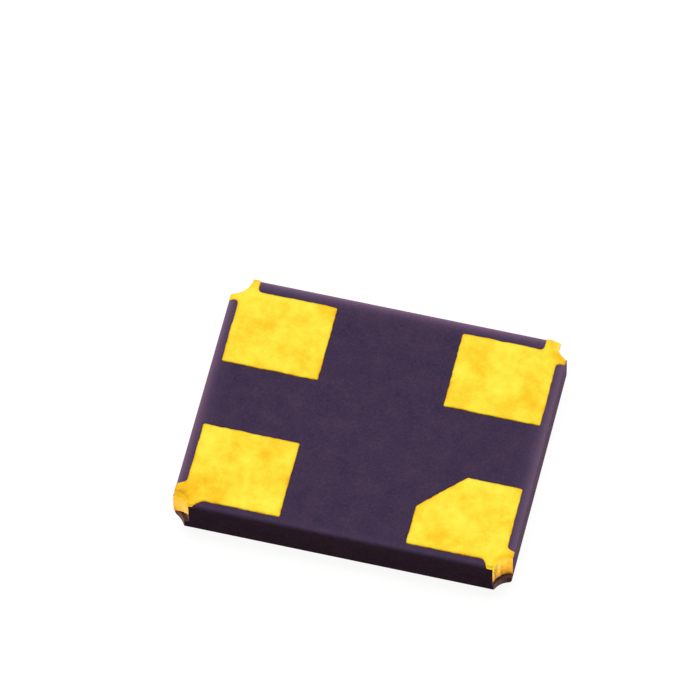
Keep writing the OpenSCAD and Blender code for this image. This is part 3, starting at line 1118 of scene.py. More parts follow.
@dataclass
class Terminal:
    """Plated solder terminal: a printed pad with ears and the plating down its corner notch.

    Plans are drawn from the package's corner inwards: u along X, v along Y, in millimetres.

    Attributes:
        number, corner, package: Which terminal it is, and what it is printed on.
        x_ear, y_ear: Tabs over the edge, at the X side and at the Y side.
        crease, fold_h: Circle in which the face's plating folds into the notch, and the fold's height.
        foot_x, foot_y, foot_curve, foot_wobble: Height at which the plating ends at either side, and between.
        crease_shade, fold_shade, wall_shade, edge_shade, over_shade, foot_shade, side_shade, streak_shading:
        Painted shade in the crease and the fold, on the notch wall, at the printed edge, over the body's
        edge, at the wall's foot and sides, and painted light and shade along its streaks.
        tarnish, deep_patch_r: Place and tone of a deeper patch on the pad, and its reach.
        pad_l, pad_w, pad_end_gap, pad_side_gap, pad_r, index_cut, ear_fillet_r: Plan of the pad.
        plate_t, lower_plate_t, side_share: Thickness of the plating, and its share at the notch's sides.
        step_half: Half the height over which the plating follows the notch's step.
        plate_bite: How deep the hidden skin lies in the ceramic.
        edge_share, shoulder, dip: Relief of the printed pad: its edge's height, the slope from there, dips.
        wobble, waver_fine, calm, calm_start, calm_reach: Waver of the printed edge, calmer over the sides.
        fringe, fold_w: Reach of the painted shade from the printed edge and from the crease.
        wall_inset, ease_share, streak, fine_streak: Relief of the plated wall.
        edge_step, grid, edge_rows, row_clear, grid_inset: Spacing of the plan's points.
        turn_steps, fold_rows, wall_rows, arc_steps: How finely turns, fold, wall and crease are divided.
        finish: The plating.
    """

    number: int
    corner: Corner
    package: CeramicPackage
    x_ear: Ear
    y_ear: Ear
    crease: Bore
    fold_h: float = 0.008
    foot_x: float = 0.320
    foot_y: float = 0.340
    foot_curve: float = 1.6
    foot_wobble: float = 0.006
    # Tones that paint shade on the gold where the pad turns, folds and runs down the notch.
    crease_shade: float = 0.75
    fold_shade: float = 0.30
    wall_shade: float = 0.45
    edge_shade: float = 0.80
    over_shade: float = 0.55
    foot_shade: float = 0.60
    side_shade: float = 0.40
    streak_shading: float = 0.30
    deep_patch: Point = (0.0, 0.0, 0.0)
    deep_patch_r: float = 0.30
    pad_l: float = 0.92
    pad_w: float = 0.80
    pad_end_gap: float = 0.083
    pad_side_gap: float = 0.106
    pad_r: float = 0.022
    index_cut: float = 0.0
    ear_fillet_r: float = 0.045
    plate_t: float = 0.015
    lower_plate_t: float = 0.008
    side_share: float = 0.45
    step_half: float = 0.006
    plate_bite: float = 0.0015
    edge_share: float = 0.30
    dip: float = 0.0016
    shoulder: float = 0.020
    wobble: float = 0.0055
    waver_fine: float = 0.75
    calm: float = 0.25
    calm_start: float = 0.02
    calm_reach: float = 0.06
    fringe: float = 0.034
    fold_w: float = 0.055
    wall_inset: float = 0.0012
    ease_share: float = 0.25
    streak: float = 0.0042
    fine_streak: float = 0.0016
    edge_step: float = 0.0105
    grid: float = 0.014
    edge_rows: tuple[float, ...] = (0.004, 0.009, 0.015)
    row_clear: float = 0.85
    grid_inset: float = 0.021
    turn_steps: int = 6
    fold_rows: int = 7
    wall_rows: int = 26
    arc_steps: int = 34
    finish: Finish = Plating("terminal_gold_plating")

    def __post_init__(self) -> None:
        """Works out the plan from the package's sizes."""
        body = self.package
        self.notch = body.notches[self.corner]
        self.edges = body.edge_widths(self.corner)
        self.ends = tuple(self.over_edge(ear.drop, wide)
                          for ear, wide in zip((self.x_ear, self.y_ear), self.edges))

    def over_edge(self, drop: float, wide: float) -> float:
        """How far from the side an edge rounded over that width has dropped by so much."""
        rise = 1 - drop / self.package.edge_drop
        return wide * (1 - math.sqrt(1 - rise * rise))

    def turned_path(self) -> np.ndarray:
        """Plan of the pad and its ears with round corners.

        Returns:
            Rows of u and v, from one end of the notch to the other.
        """
        (sx, sy), (shift_x, shift_y) = self.corner.value, self.package.print_shift
        u0, v0 = self.pad_end_gap - sx * shift_x, self.pad_side_gap - sy * shift_y
        u1, v1 = u0 + self.pad_l, v0 + self.pad_w
        end_x, end_y = self.ends
        from_x, from_y = self.crease.ends(self.ends)
        r, cut, fillet, x_ear, y_ear = self.pad_r, self.index_cut, self.ear_fillet_r, self.x_ear, self.y_ear
        inner = [(u1 - cut, v1, r), (u1, v1 - cut, r)] if cut else [(u1, v1, r)]
        turns = [(*self.crease.at(from_x), 0.0), (end_x, x_ear.tip, x_ear.tip_r), (u0, x_ear.root, fillet),
                 (u0, v1, r), *inner, (u1, v0, r),
                 (y_ear.root, v0, fillet), (y_ear.tip, end_y, y_ear.tip_r), (*self.crease.at(from_y), 0.0)]
        path: list[np.ndarray] = [np.array(turns[0][:2])]
        for before, (u, v, r), after in zip(turns, turns[1:], turns[2:]):
            here = np.array((u, v))
            a = np.array(before[:2]) - here
            b = np.array(after[:2]) - here
            a /= np.linalg.norm(a)
            b /= np.linalg.norm(b)
            reach = r / math.tan(math.acos(float(np.clip(a @ b, -1, 1))) / 2)
            first, last = here + a * reach, here + b * reach
            path += [(1 - t) ** 2 * first + 2 * t * (1 - t) * here + t ** 2 * last
                     for t in np.linspace(0, 1, self.turn_steps)]
        path.append(np.array(turns[-1][:2]))
        return self.evenly(np.array(path), self.edge_step)

    @staticmethod
    def evenly(path: np.ndarray, step: float) -> np.ndarray:
        """Points along a path at about an even distance, its ends kept.

        Args:
            path: Rows of u and v.
            step: About how far apart the new points are.

        Returns:
            The new rows.
        """
        lengths = np.concatenate([[0], np.cumsum(np.linalg.norm(np.diff(path, axis=0), axis=1))])
        count = max(2, int(round(lengths[-1] / step)))
        at = np.linspace(0, lengths[-1], count + 1)
        return np.column_stack([np.interp(at, lengths, path[:, k]) for k in (0, 1)])

    def pattern(self, pattern: Pattern, points: np.ndarray) -> np.ndarray:
        """The terminal's own noise of a kind, from -1 to 1, at rows of two coordinates."""
        per_mm, step, start = pattern.value
        return ripple(points, per_mm, step * self.number + start)

    def printed_edge(self) -> tuple[np.ndarray, np.ndarray]:
        """The plan's edge with the slight waver of printed paste.

        Returns:
            The wavering edge without the notch, and the arc round the notch.
        """
        path = self.turned_path()
        along = np.gradient(path, axis=0)
        along /= np.linalg.norm(along, axis=1)[:, None]
        normal = np.column_stack([along[:, 1], -along[:, 0]])
        waver = self.pattern(Pattern.WAVER, path) + self.waver_fine * self.pattern(Pattern.FINE_WAVER, path)
        from_side = np.clip((path.min(axis=1) - self.calm_start) / self.calm_reach, 0.0, 1.0)
        freedom = self.calm + (1 - self.calm) * from_side
        edge = path + normal * (waver * self.wobble * freedom)[:, None]
        edge[[0, -1]] = path[[0, -1]]
        return edge, self.crease.arc(self.ends, np.linspace(0, 1, self.arc_steps + 1))

    def mesh_plan(self) -> tuple[np.ndarray, list[tuple[int, ...]], np.ndarray]:
        """Triangulates the plan.

        Returns:
            Points, triangles and each point's distance to the printed edge.
        """
        edge, arc = self.printed_edge()
        rim = np.vstack([edge[:-1], arc[:-1]])
        inner = self.inside_grid(rim)
        points = [Vector(p) for p in np.vstack([rim, inner])]
        outline = list(range(len(rim)))
        verts, _, faces, *_ = delaunay_2d_cdt(points, [], [outline], FILL_INSIDE, FILL_MERGE_MM)
        plan = np.array([tuple(v) for v in verts])
        return plan, [tuple(f) for f in faces], self.distance(plan, edge)

    @staticmethod
    def distance(points: np.ndarray, path: np.ndarray) -> np.ndarray:
        """Distance of each point to a path.

        Args:
            points: Rows of u and v.
            path: The path's rows of u and v.

        Returns:
            Each point's distance.
        """
        a, b = path[:-1], path[1:]
        way = b - a
        t = ((points[:, None] - a) * way).sum(-1) / (way * way).sum(-1)
        near = a + np.clip(t, 0, 1)[..., None] * way
        return np.linalg.norm(points[:, None] - near, axis=-1).min(axis=1)

    def inside_grid(self, rim: np.ndarray) -> np.ndarray:
        """Points inside a closed edge: rows that follow it closely, then an even grid.

        Args:
            rim: The closed edge.

        Returns:
            Rows of u and v.
        """
        along = np.roll(rim, -1, axis=0) - np.roll(rim, 1, axis=0)
        along /= np.linalg.norm(along, axis=1)[:, None]
        x, y = rim.T
        turning = np.sign(np.sum(x * np.roll(y, -1) - y * np.roll(x, -1)))
        inward = np.column_stack([-along[:, 1], along[:, 0]]) * turning
        across, up = (np.arange(rim[:, k].min(), rim[:, k].max(), self.grid) for k in (0, 1))
        grid = np.stack(np.meshgrid(across, up), axis=-1).reshape(-1, 2)
        closed = np.vstack([rim, rim[:1]])
        sets = [(rim + inward * d, d * self.row_clear) for d in self.edge_rows] + [(grid, self.grid_inset)]
        return np.vstack([points[self.inside(points, rim) & (self.distance(points, closed) > clear)]
                          for points, clear in sets])

    @staticmethod
    def inside(points: np.ndarray, rim: np.ndarray) -> np.ndarray:
        """Which points lie inside a closed edge.

        Args:
            points: Rows of u and v.
            rim: The closed edge.

        Returns:
            True for each point inside.
        """
        a, b = rim, np.roll(rim, -1, axis=0)
        x, y = points[:, 0:1], points[:, 1:2]
        crosses = (a[:, 1] > y) != (b[:, 1] > y)
        rise = np.where(b[:, 1] == a[:, 1], TINY, b[:, 1] - a[:, 1])
        left = x < (b[:, 0] - a[:, 0]) * (y - a[:, 1]) / rise + a[:, 0]
        return (crosses & left).sum(axis=1) % 2 == 1

    def lifted(self, plan: np.ndarray, thickness: np.ndarray) -> np.ndarray:
        """Points over the body's face and its rounded edges.

        Args:
            plan: Rows of u and v.
            thickness: Height of each point over the ceramic.

        Returns:
            Rows of u, v and z.
        """
        deep = self.package.edge_drop
        out = np.column_stack([plan, np.full(len(plan), self.package.face_z)])
        leans = np.clip(1 - plan / np.array(self.edges), 0.0, 1.0)
        rows, side = np.arange(len(plan)), leans.argmax(axis=1)
        lean = leans[rows, side]
        up = np.sqrt(1 - lean * lean)
        away = np.column_stack([lean / np.array(self.edges)[side], up / deep])
        away /= np.linalg.norm(away, axis=1)[:, None]
        out[:, 2] += deep * (up - 1) + thickness * away[:, 1]
        out[rows, side] = np.maximum(out[rows, side] - thickness * away[:, 0], 0.0)
        return out

    def skins(self, plan: np.ndarray, distance: np.ndarray) -> tuple[np.ndarray, np.ndarray]:
        """Outer and inner skin of the plated plan.

        Args:
            plan: Rows of u and v.
            distance: How far each one lies from the printed edge.

        Returns:
            Both skins, as rows of u, v and z.
        """
        t = np.clip(distance / self.shoulder, 0.0, 1.0)
        profile = self.edge_share + (1 - self.edge_share) * np.sqrt(1 - (1 - t) ** 2)
        dips = 0.5 + 0.5 * self.pattern(Pattern.DIPS, plan) + 0.25 * self.pattern(Pattern.FINE_DIPS, plan)
        thickness = self.plate_t * profile - self.dip * np.clip(dips, 0.0, 1.2) * t
        return self.lifted(plan, thickness), self.lifted(plan, np.full(len(plan), -self.plate_bite))

    def to_package(self, points: np.ndarray) -> list[Point]:
        """Rows of u, v and z in the package's axes."""
        sx, sy = self.corner.value
        body = self.package
        return [(sx * (body.half_x - u), sy * (body.half_y - v), z) for u, v, z in points]

    def face_tones(self, plan: np.ndarray, distance: np.ndarray) -> np.ndarray:
        """Tone of each point on the face: painted shade at the printed edge, at the crease and over the
        body's edge, and a deeper patch where one is given.

        Args:
            plan: Rows of u and v.
            distance: How far each one lies from the printed edge.

        Returns:
            Each point's tone.
        """
        edge = np.clip(1 - distance / self.fringe, 0.0, 1.0) ** 1.5
        uneven = 0.75 + 0.45 * self.pattern(Pattern.UNEVEN, plan)
        from_crease = self.from_middle(plan) - self.crease.radius
        fold = np.clip(1 - from_crease / self.fold_w, 0.0, 1.0) ** 2
        over = np.clip(1 - plan / np.array(self.edges), 0.0, 1.0).max(axis=1) ** 2
        # A deeper patch on the pad where one is given.
        u, v, amount = self.deep_patch
        patch = amount * np.exp(-((plan[:, 0] - u) ** 2 + (plan[:, 1] - v) ** 2) / self.deep_patch_r ** 2)
        # Painted shade at the printed edge, in the crease and where the pad turns over the body's edge.
        deeper = [self.edge_shade * edge * uneven, self.crease_shade * fold, self.over_shade * over]
        return np.maximum.reduce(deeper) + patch

    def from_middle(self, plan: np.ndarray) -> np.ndarray:
        """Distance of each point to the middle of the crease's circle."""
        return np.linalg.norm(plan - self.crease.middle, axis=1)

    def wall(self, front: np.ndarray, share: np.ndarray) -> list[tuple[np.ndarray, np.ndarray, np.ndarray]]:
        """Rows of outer and inner points down the notch, below its crease.

        Args:
            front: The crease's points on the outer skin, from the Y side to the X side.
            share: How far along the crease each one lies.

        Returns:
            Outer points, inner points and tones of each row; the tones paint shade.
        """
        upper, lower = self.notch.upper, self.notch.lower
        bulge, to_side = np.sin(share * math.pi), np.abs(2 * share - 1)
        full = self.side_share + (1 - self.side_share) * bulge ** 0.35
        foot = self.foot_x + (self.foot_y - self.foot_x) * (1 - share) ** self.foot_curve
        foot = foot + self.foot_wobble * self.pattern(Pattern.FOOT, np.column_stack([share, share * 0]))
        rows: list[tuple[np.ndarray, np.ndarray, np.ndarray]] = []
        for k in range(1, self.fold_rows + self.wall_rows + 1):
            turn = math.pi / 2 * min(1.0, k / self.fold_rows)
            down = max(0, k - self.fold_rows) / self.wall_rows
            ease = min(1.0, down / self.ease_share)
            insets = tuple(end + (self.wall_inset - end) * ease for end in self.ends)
            crease = self.crease.arc(insets, share)
            top = front[:, 2] - self.fold_h * (1 - math.cos(turn))
            z = top + (foot - top) * down
            below = np.clip((self.notch.step_z - z) / self.step_half / 2 + 0.5, 0.0, 1.0)[:, None]
            held = upper.arc(insets, share) * (1 - below) + lower.arc(insets, share) * below
            bare = (upper.grown(-self.plate_t).arc(insets, share) * (1 - below)
                    + lower.grown(-self.lower_plate_t).arc(insets, share) * below)
            bare = held + (bare - held) * (full + (1 - full) * (1 - ease))[:, None]
            outer = crease + (bare - crease) * math.sin(turn)
            streak = self.pattern(Pattern.STREAKS, np.column_stack([share * 0.86, z * 0.22]))
            fine = self.pattern(Pattern.FINE_STREAKS, np.column_stack([share * 0.8, z * 0.6]))
            relief = (self.streak * streak + self.fine_streak * fine) * ease * bulge ** 0.5
            outward = held - upper.middle
            outer = outer + outward / np.linalg.norm(outward, axis=1)[:, None] * relief[:, None]
            behind = crease + (held - crease) * min(1.0, k / self.fold_rows)
            cover = self.lifted(behind, np.full(len(behind), -self.plate_bite))[:, 2]
            # Painted shade down the notch: on the wall, its sides and foot, and in the fold, with painted
            # light and shade along the streaks.
            wall_shading = (self.wall_shade + self.streak_shading * streak + self.side_shade * to_side ** 6
                          + self.foot_shade * down ** 4)
            fold = self.fold_shade + (self.crease_shade - self.fold_shade) * (1 - turn * 2 / math.pi) ** 2
            tones = fold + (wall_shading - fold) * ease
            rows.append((np.column_stack([outer, z]), np.column_stack([behind, np.minimum(z, cover)]), tones))
        return rows

    def build(self) -> None:
        """Makes the terminal as one closed skin."""
        plan, triangles, distance = self.mesh_plan()
        front, back = self.skins(plan, distance)
        on_crease = np.flatnonzero(np.abs(self.from_middle(plan) - self.crease.radius) < ON_CREASE_MM)
        angle = np.arctan2(plan[on_crease, 1] - self.crease.v, plan[on_crease, 0] - self.crease.u)
        order, angle = on_crease[np.argsort(angle)], np.sort(angle)
        share = (angle - angle[0]) / (angle[-1] - angle[0])
        form = Form()
        tones = self.face_tones(plan, distance)
        outer = form.loop(self.to_package(front), tones)
        inner = form.loop(self.to_package(back), tones)
        sheet = [tuple(t) for t in triangles]
        pairs = dict(zip(outer, inner))
        above = [outer[i] for i in order]
        for outer_row, inner_row, tones in self.wall(front[order], share):
            row = form.loop(self.to_package(outer_row), tones)
            pairs.update(zip(row, form.loop(self.to_package(inner_row), tones)))
            sheet += [(above[i], above[i + 1], row[i + 1], row[i]) for i in range(len(row) - 1)]
            above = row
        self.close(form, sheet, pairs)
        piece = form.piece(f"terminal_plating_{self.number}", crease_deg=40.0)
        settle(piece, self.finish, [f"terminal_{self.number}"])

    @staticmethod
    def close(form: Form, sheet: list[tuple[int, ...]], pairs: dict[int, int]) -> None:
        """Closes a sheet with its twin behind it and a strip round the edge.

        Args:
            form: Takes the faces.
            sheet: Faces of the outer skin.
            pairs: The inner point behind each outer one.
        """
        sides = [side for face in sheet for side in zip(face, face[1:] + face[:1])]
        count = Counter(frozenset(side) for side in sides)
        form.faces += sheet
        form.faces += [tuple(pairs[i] for i in reversed(face)) for face in sheet]
        form.faces += [(b, a, pairs[a], pairs[b]) for a, b in sides if count[frozenset((a, b))] == 1]


# --- Ring, braze and lid ---


class PathTree(Bench):
    """Geometry Nodes tree that repeats or sweeps a shape along a path, with named inputs."""

    def __init__(self, name: str, values: dict[str, object]) -> None:
        """Starts a tree.

        Args:
            name: Name of the tree.
            values: Value of each named input. The one named Finish is the material of all that it makes.
        """
        super().__init__(bpy.data.node_groups.new(name, "GeometryNodeTree"))
        self.values = values
        sockets = self.tree.interface
        sockets.new_socket("Geometry", in_out="INPUT", socket_type="NodeSocketGeometry")
        for label, value in values.items():
            sockets.new_socket(label, in_out="INPUT", socket_type=self.kind(value))
        sockets.new_socket("Geometry", in_out="OUTPUT", socket_type="NodeSocketGeometry")
        self.given = self.node("NodeGroupInput").outputs

    @staticmethod
    def kind(value: object) -> str:
        """Socket type of a value."""
        if isinstance(value, bpy.types.Material):
            return "NodeSocketMaterial"
        return "NodeSocketInt" if isinstance(value, int) else "NodeSocketFloat"

    def end(self, geometry: Socket) -> None:
        """Ends the tree: instances are made real and take the finish.

        Args:
            geometry: What the tree has made.
        """
        real = self.node("GeometryNodeRealizeInstances", {"Geometry": geometry})
        dressed = self.node("GeometryNodeSetMaterial", {
            "Geometry": real.outputs["Geometry"], "Material": self.given["Finish"]})
        self.node("NodeGroupOutput", {"Geometry": dressed.outputs["Geometry"]})

    def run(self, points: Sequence[Point], cyclic: bool, name: str) -> bpy.types.Object:
        """Runs the tree on a path.

        Args:
            points: The path, in millimetres.
            cyclic: Whether it closes.
            name: Name of the piece.

        Returns:
            The piece, a plain mesh in metres.
        """
        curve = bpy.data.curves.new(name, "CURVE")
        curve.dimensions = "3D"
        spline = curve.splines.new("POLY")
        spline.points.add(len(points) - 1)
        spline.points.foreach_set("co", [c for x, y, z in points for c in (x * MM, y * MM, z * MM, 1.0)])
        spline.use_cyclic_u = cyclic
        path = bpy.data.objects.new(name + "_path", curve)
        bpy.context.scene.collection.objects.link(path)
        modifier = path.modifiers.new(name, "NODES")
        modifier.node_group = self.tree
        for item in self.tree.interface.items_tree:
            if item.in_out == "INPUT" and item.name in self.values:
                modifier[item.identifier] = self.values[item.name]
        depsgraph = bpy.context.evaluated_depsgraph_get()
        mesh = bpy.data.meshes.new_from_object(path.evaluated_get(depsgraph), depsgraph=depsgraph)
        path.modifiers.clear()
        bpy.data.objects.remove(path)
        return finish_mesh(mesh, name, crease_deg=60.0)


@dataclass
class Enclosure:
    """Seal ring, its braze and the seam-welded lid, under the package.

    Attributes:
        ring_r, ring_inner_r, ring_w, ring_soft: Corner radii, width and edge rounding of the ring.
        braze_climb, braze_lip, braze_undercut: Fillet of the braze, up and in.
        lid_r, lid_least_r: Radius of the lid's corners, and the least one at an inset.
        lid_step: Step from the flat middle down to the track, as insets over track_w and heights.
        lid_track: The track, as insets and shares of track_drop.
        lid_brink: The rolled edge over the track, as insets and heights below the track's drop.
        lid_foot: The edge at the ring, as insets and heights from the ring.
        track_w, track_drop: Width and drop of the track that carries the weld.
        weld_pitch, weld_l, weld_w, weld_h, weld_rise: The weld spots, and how far they lie off the track.
        weld_least, weld_most, weld_seed: Bounds and seed of each spot's random size.
        spot_segments, spot_rings, ring_steps, braze_steps: How finely spots and edges are divided.
        ring_finish, braze_finish, lid_finish, weld_finish: What each is made of.
    """

    ring_r: float = 0.24
    ring_inner_r: float = 0.12
    ring_w: float = 0.20
    ring_soft: float = 0.012
    braze_climb: float = 0.030
    braze_lip: float = 0.0015
    braze_undercut: float = 0.006
    lid_r: float = 0.21
    lid_least_r: float = 0.02
    lid_step: tuple[Pair, ...] = ((0.012, 0.0), (0.005, 0.0006), (0.0, 0.0040), (-0.012, 0.0062))
    lid_track: tuple[Pair, ...] = ((0.050, 0.66), (0.016, 0.92))
    lid_brink: tuple[Pair, ...] = ((0.005, 0.003), (0.0, 0.012))
    lid_foot: tuple[Pair, ...] = ((0.0, 0.008), (0.002, 0.002), (0.008, 0.0))
    track_w: float = 0.13
    track_drop: float = 0.020
    weld_pitch: float = 0.034
    weld_l: float = 0.074
    weld_w: float = 0.098
    weld_h: float = 0.0095
    weld_rise: float = 0.0006
    weld_least: Point = (0.90, 0.93, 0.75)
    weld_most: Point = (1.08, 1.0, 1.0)
    weld_seed: int = 11
    spot_segments: int = 14
    spot_rings: int = 6
    ring_steps: int = 5
    braze_steps: int = 7
    ring_finish: Finish = RolledMetal(
        "plated_ring_metal", tone=(0.60, 0.52, 0.36), stain=(0.52, 0.43, 0.28), draw=(0.3, 0.3, 1.0))
    braze_finish: Finish = RolledMetal(
        "silver_copper_braze", tone=(0.52, 0.47, 0.40), stain=(0.36, 0.28, 0.21), draw=(1.0, 1.0, 1.0),
        roughness=0.3)
    lid_finish: Finish = RolledMetal("rolled_nickel")
    weld_finish: Finish = RolledMetal(
        "weld_nickel", tone=(0.42, 0.39, 0.35), stain=(0.24, 0.21, 0.17), draw=(1.0, 1.0, 1.0),
        roughness=0.28)

    def __post_init__(self) -> None:
        """Takes the places of ring, braze and lid from the CAD."""
        self.ring, self.braze, self.lid = (Extent.of(n) for n in ("seal_ring", "braze_frame", "lid"))

    def frame_loop(self, inset: float) -> Outline:
        """Outline at an inset from the ring's outer side, its corners easing to those of the opening.

        Args:
            inset: The inset.

        Returns:
            The outline.
        """
        share = min(1.0, max(0.0, inset / self.ring_w))
        radius = self.ring_r + (self.ring_inner_r - self.ring_r) * share - min(0.0, inset)
        x, y = self.ring.high[0] - inset, self.ring.high[1] - inset
        return Outline(-x, x, y, radius)

    def swept(self, name: str, profile: Sequence[Pair]) -> bpy.types.Object:
        """A closed frame with that profile of insets and heights."""
        form = Form()
        form.loft([form.loop(self.frame_loop(i).points(z)) for i, z in profile], capped=False)
        return form.piece(name)

    def build_ring(self) -> None:
        """Makes the ring with softened edges."""
        s, w = self.ring_soft, self.ring_w
        z0, z1 = self.ring.low[2], self.ring.high[2]
        near = [s * (1 - math.cos(a)) for a in quarter(self.ring_steps)]
        far = [s * (1 - math.sin(a)) for a in quarter(self.ring_steps)]
        profile = [(a, z0 + b) for a, b in zip(near, far)] + [(w - b, z0 + a) for a, b in zip(near, far)]
        profile += [(w - a, z1 - b) for a, b in zip(near, far)] + [(b, z1 - a) for a, b in zip(near, far)]
        settle(self.swept("sealing_ring", profile), self.ring_finish, ["seal_ring"])

    def build_braze(self) -> None:
        """Makes the braze with the fillet that climbs the ring's outer side."""
        z0, z1 = self.braze.low[2], self.braze.high[2]
        reach = self.ring.low[0] - self.braze.low[0]
        curve = [(-reach * (1 - math.sin(a)), z1 - self.braze_lip - self.braze_climb * (1 - math.cos(a)))
                 for a in quarter(self.braze_steps)]
        profile = [(-reach, z1), *curve, (self.braze_undercut, z0), (self.ring_w, z0), (self.ring_w, z1)]
        settle(self.swept("braze_fillet", profile), self.braze_finish, ["braze_frame"])

    def lid_outline(self, inset: float) -> Outline:
        """Outline at an inset from the lid's edge."""
        x, y = self.lid.high[0] - inset, self.lid.high[1] - inset
        return Outline(-x, x, y, max(self.lid_least_r, self.lid_r - inset), arc_steps=26, side_steps=40)

    def build_lid(self) -> None:
        """Makes the lid: a flat middle, a step down to the weld track and a rolled edge."""
        z0, z1 = self.lid.low[2], self.lid.high[2]
        levels = [(self.track_w + i, z0 + z) for i, z in self.lid_step]
        levels += [(i, z0 + self.track_drop * share) for i, share in self.lid_track]
        levels += [(i, z0 + self.track_drop + z) for i, z in self.lid_brink]
        levels += [(i, z1 - z) for i, z in self.lid_foot]
        form = Form()
        form.loft([form.loop(self.lid_outline(i).points(z)) for i, z in levels])
        settle(form.piece("lid_plate"), self.lid_finish, ["lid"])

    def weld_tree(self) -> PathTree:
        """Tree that lays shallow weld spots one over the other along a path.

        Returns:
            The tree.
        """
        tree = PathTree("weld_spots", {
            "Pitch": self.weld_pitch * MM, "Length": self.weld_l * MM, "Width": self.weld_w * MM,
            "Height": self.weld_h * MM, "Seed": self.weld_seed, "Finish": self.weld_finish.material()})
        given = tree.given
        spread = tree.node("GeometryNodeCurveToPoints", {
            "Curve": given["Geometry"], "Length": given["Pitch"]}, mode="LENGTH")
        spot = tree.node("GeometryNodeMeshUVSphere", {
            "Segments": self.spot_segments, "Rings": self.spot_rings, "Radius": 0.5})
        size = tree.node("ShaderNodeCombineXYZ", {
            "X": given["Width"], "Y": given["Height"], "Z": given["Length"]})
        shape = tree.node("GeometryNodeTransform", {
            "Geometry": spot.outputs["Mesh"], "Scale": size.outputs[0]})
        vary = tree.node("FunctionNodeRandomValue", {
            "Min": self.weld_least, "Max": self.weld_most, "Seed": given["Seed"]}, data_type="FLOAT_VECTOR")
        spots = tree.node("GeometryNodeInstanceOnPoints", {
            "Points": spread.outputs["Points"], "Instance": shape.outputs["Geometry"],
            "Rotation": spread.outputs["Rotation"], "Scale": vary.outputs["Value"]})
        tree.end(spots.outputs["Instances"])
        return tree

    def build_weld(self) -> None:
        """Makes the row of weld spots round the lid."""
        z = self.lid.low[2] + self.track_drop * 0.5 + self.weld_rise
        seam = self.weld_tree().run(self.lid_outline(self.track_w * 0.5).points(z), True, "weld_seam")
        settle(seam, self.weld_finish, [])

    def build(self) -> None:
        """Makes ring, braze, lid and weld."""
        self.build_ring()
        self.build_braze()
        self.build_lid()
        self.build_weld()


# --- Inside the cavity ---


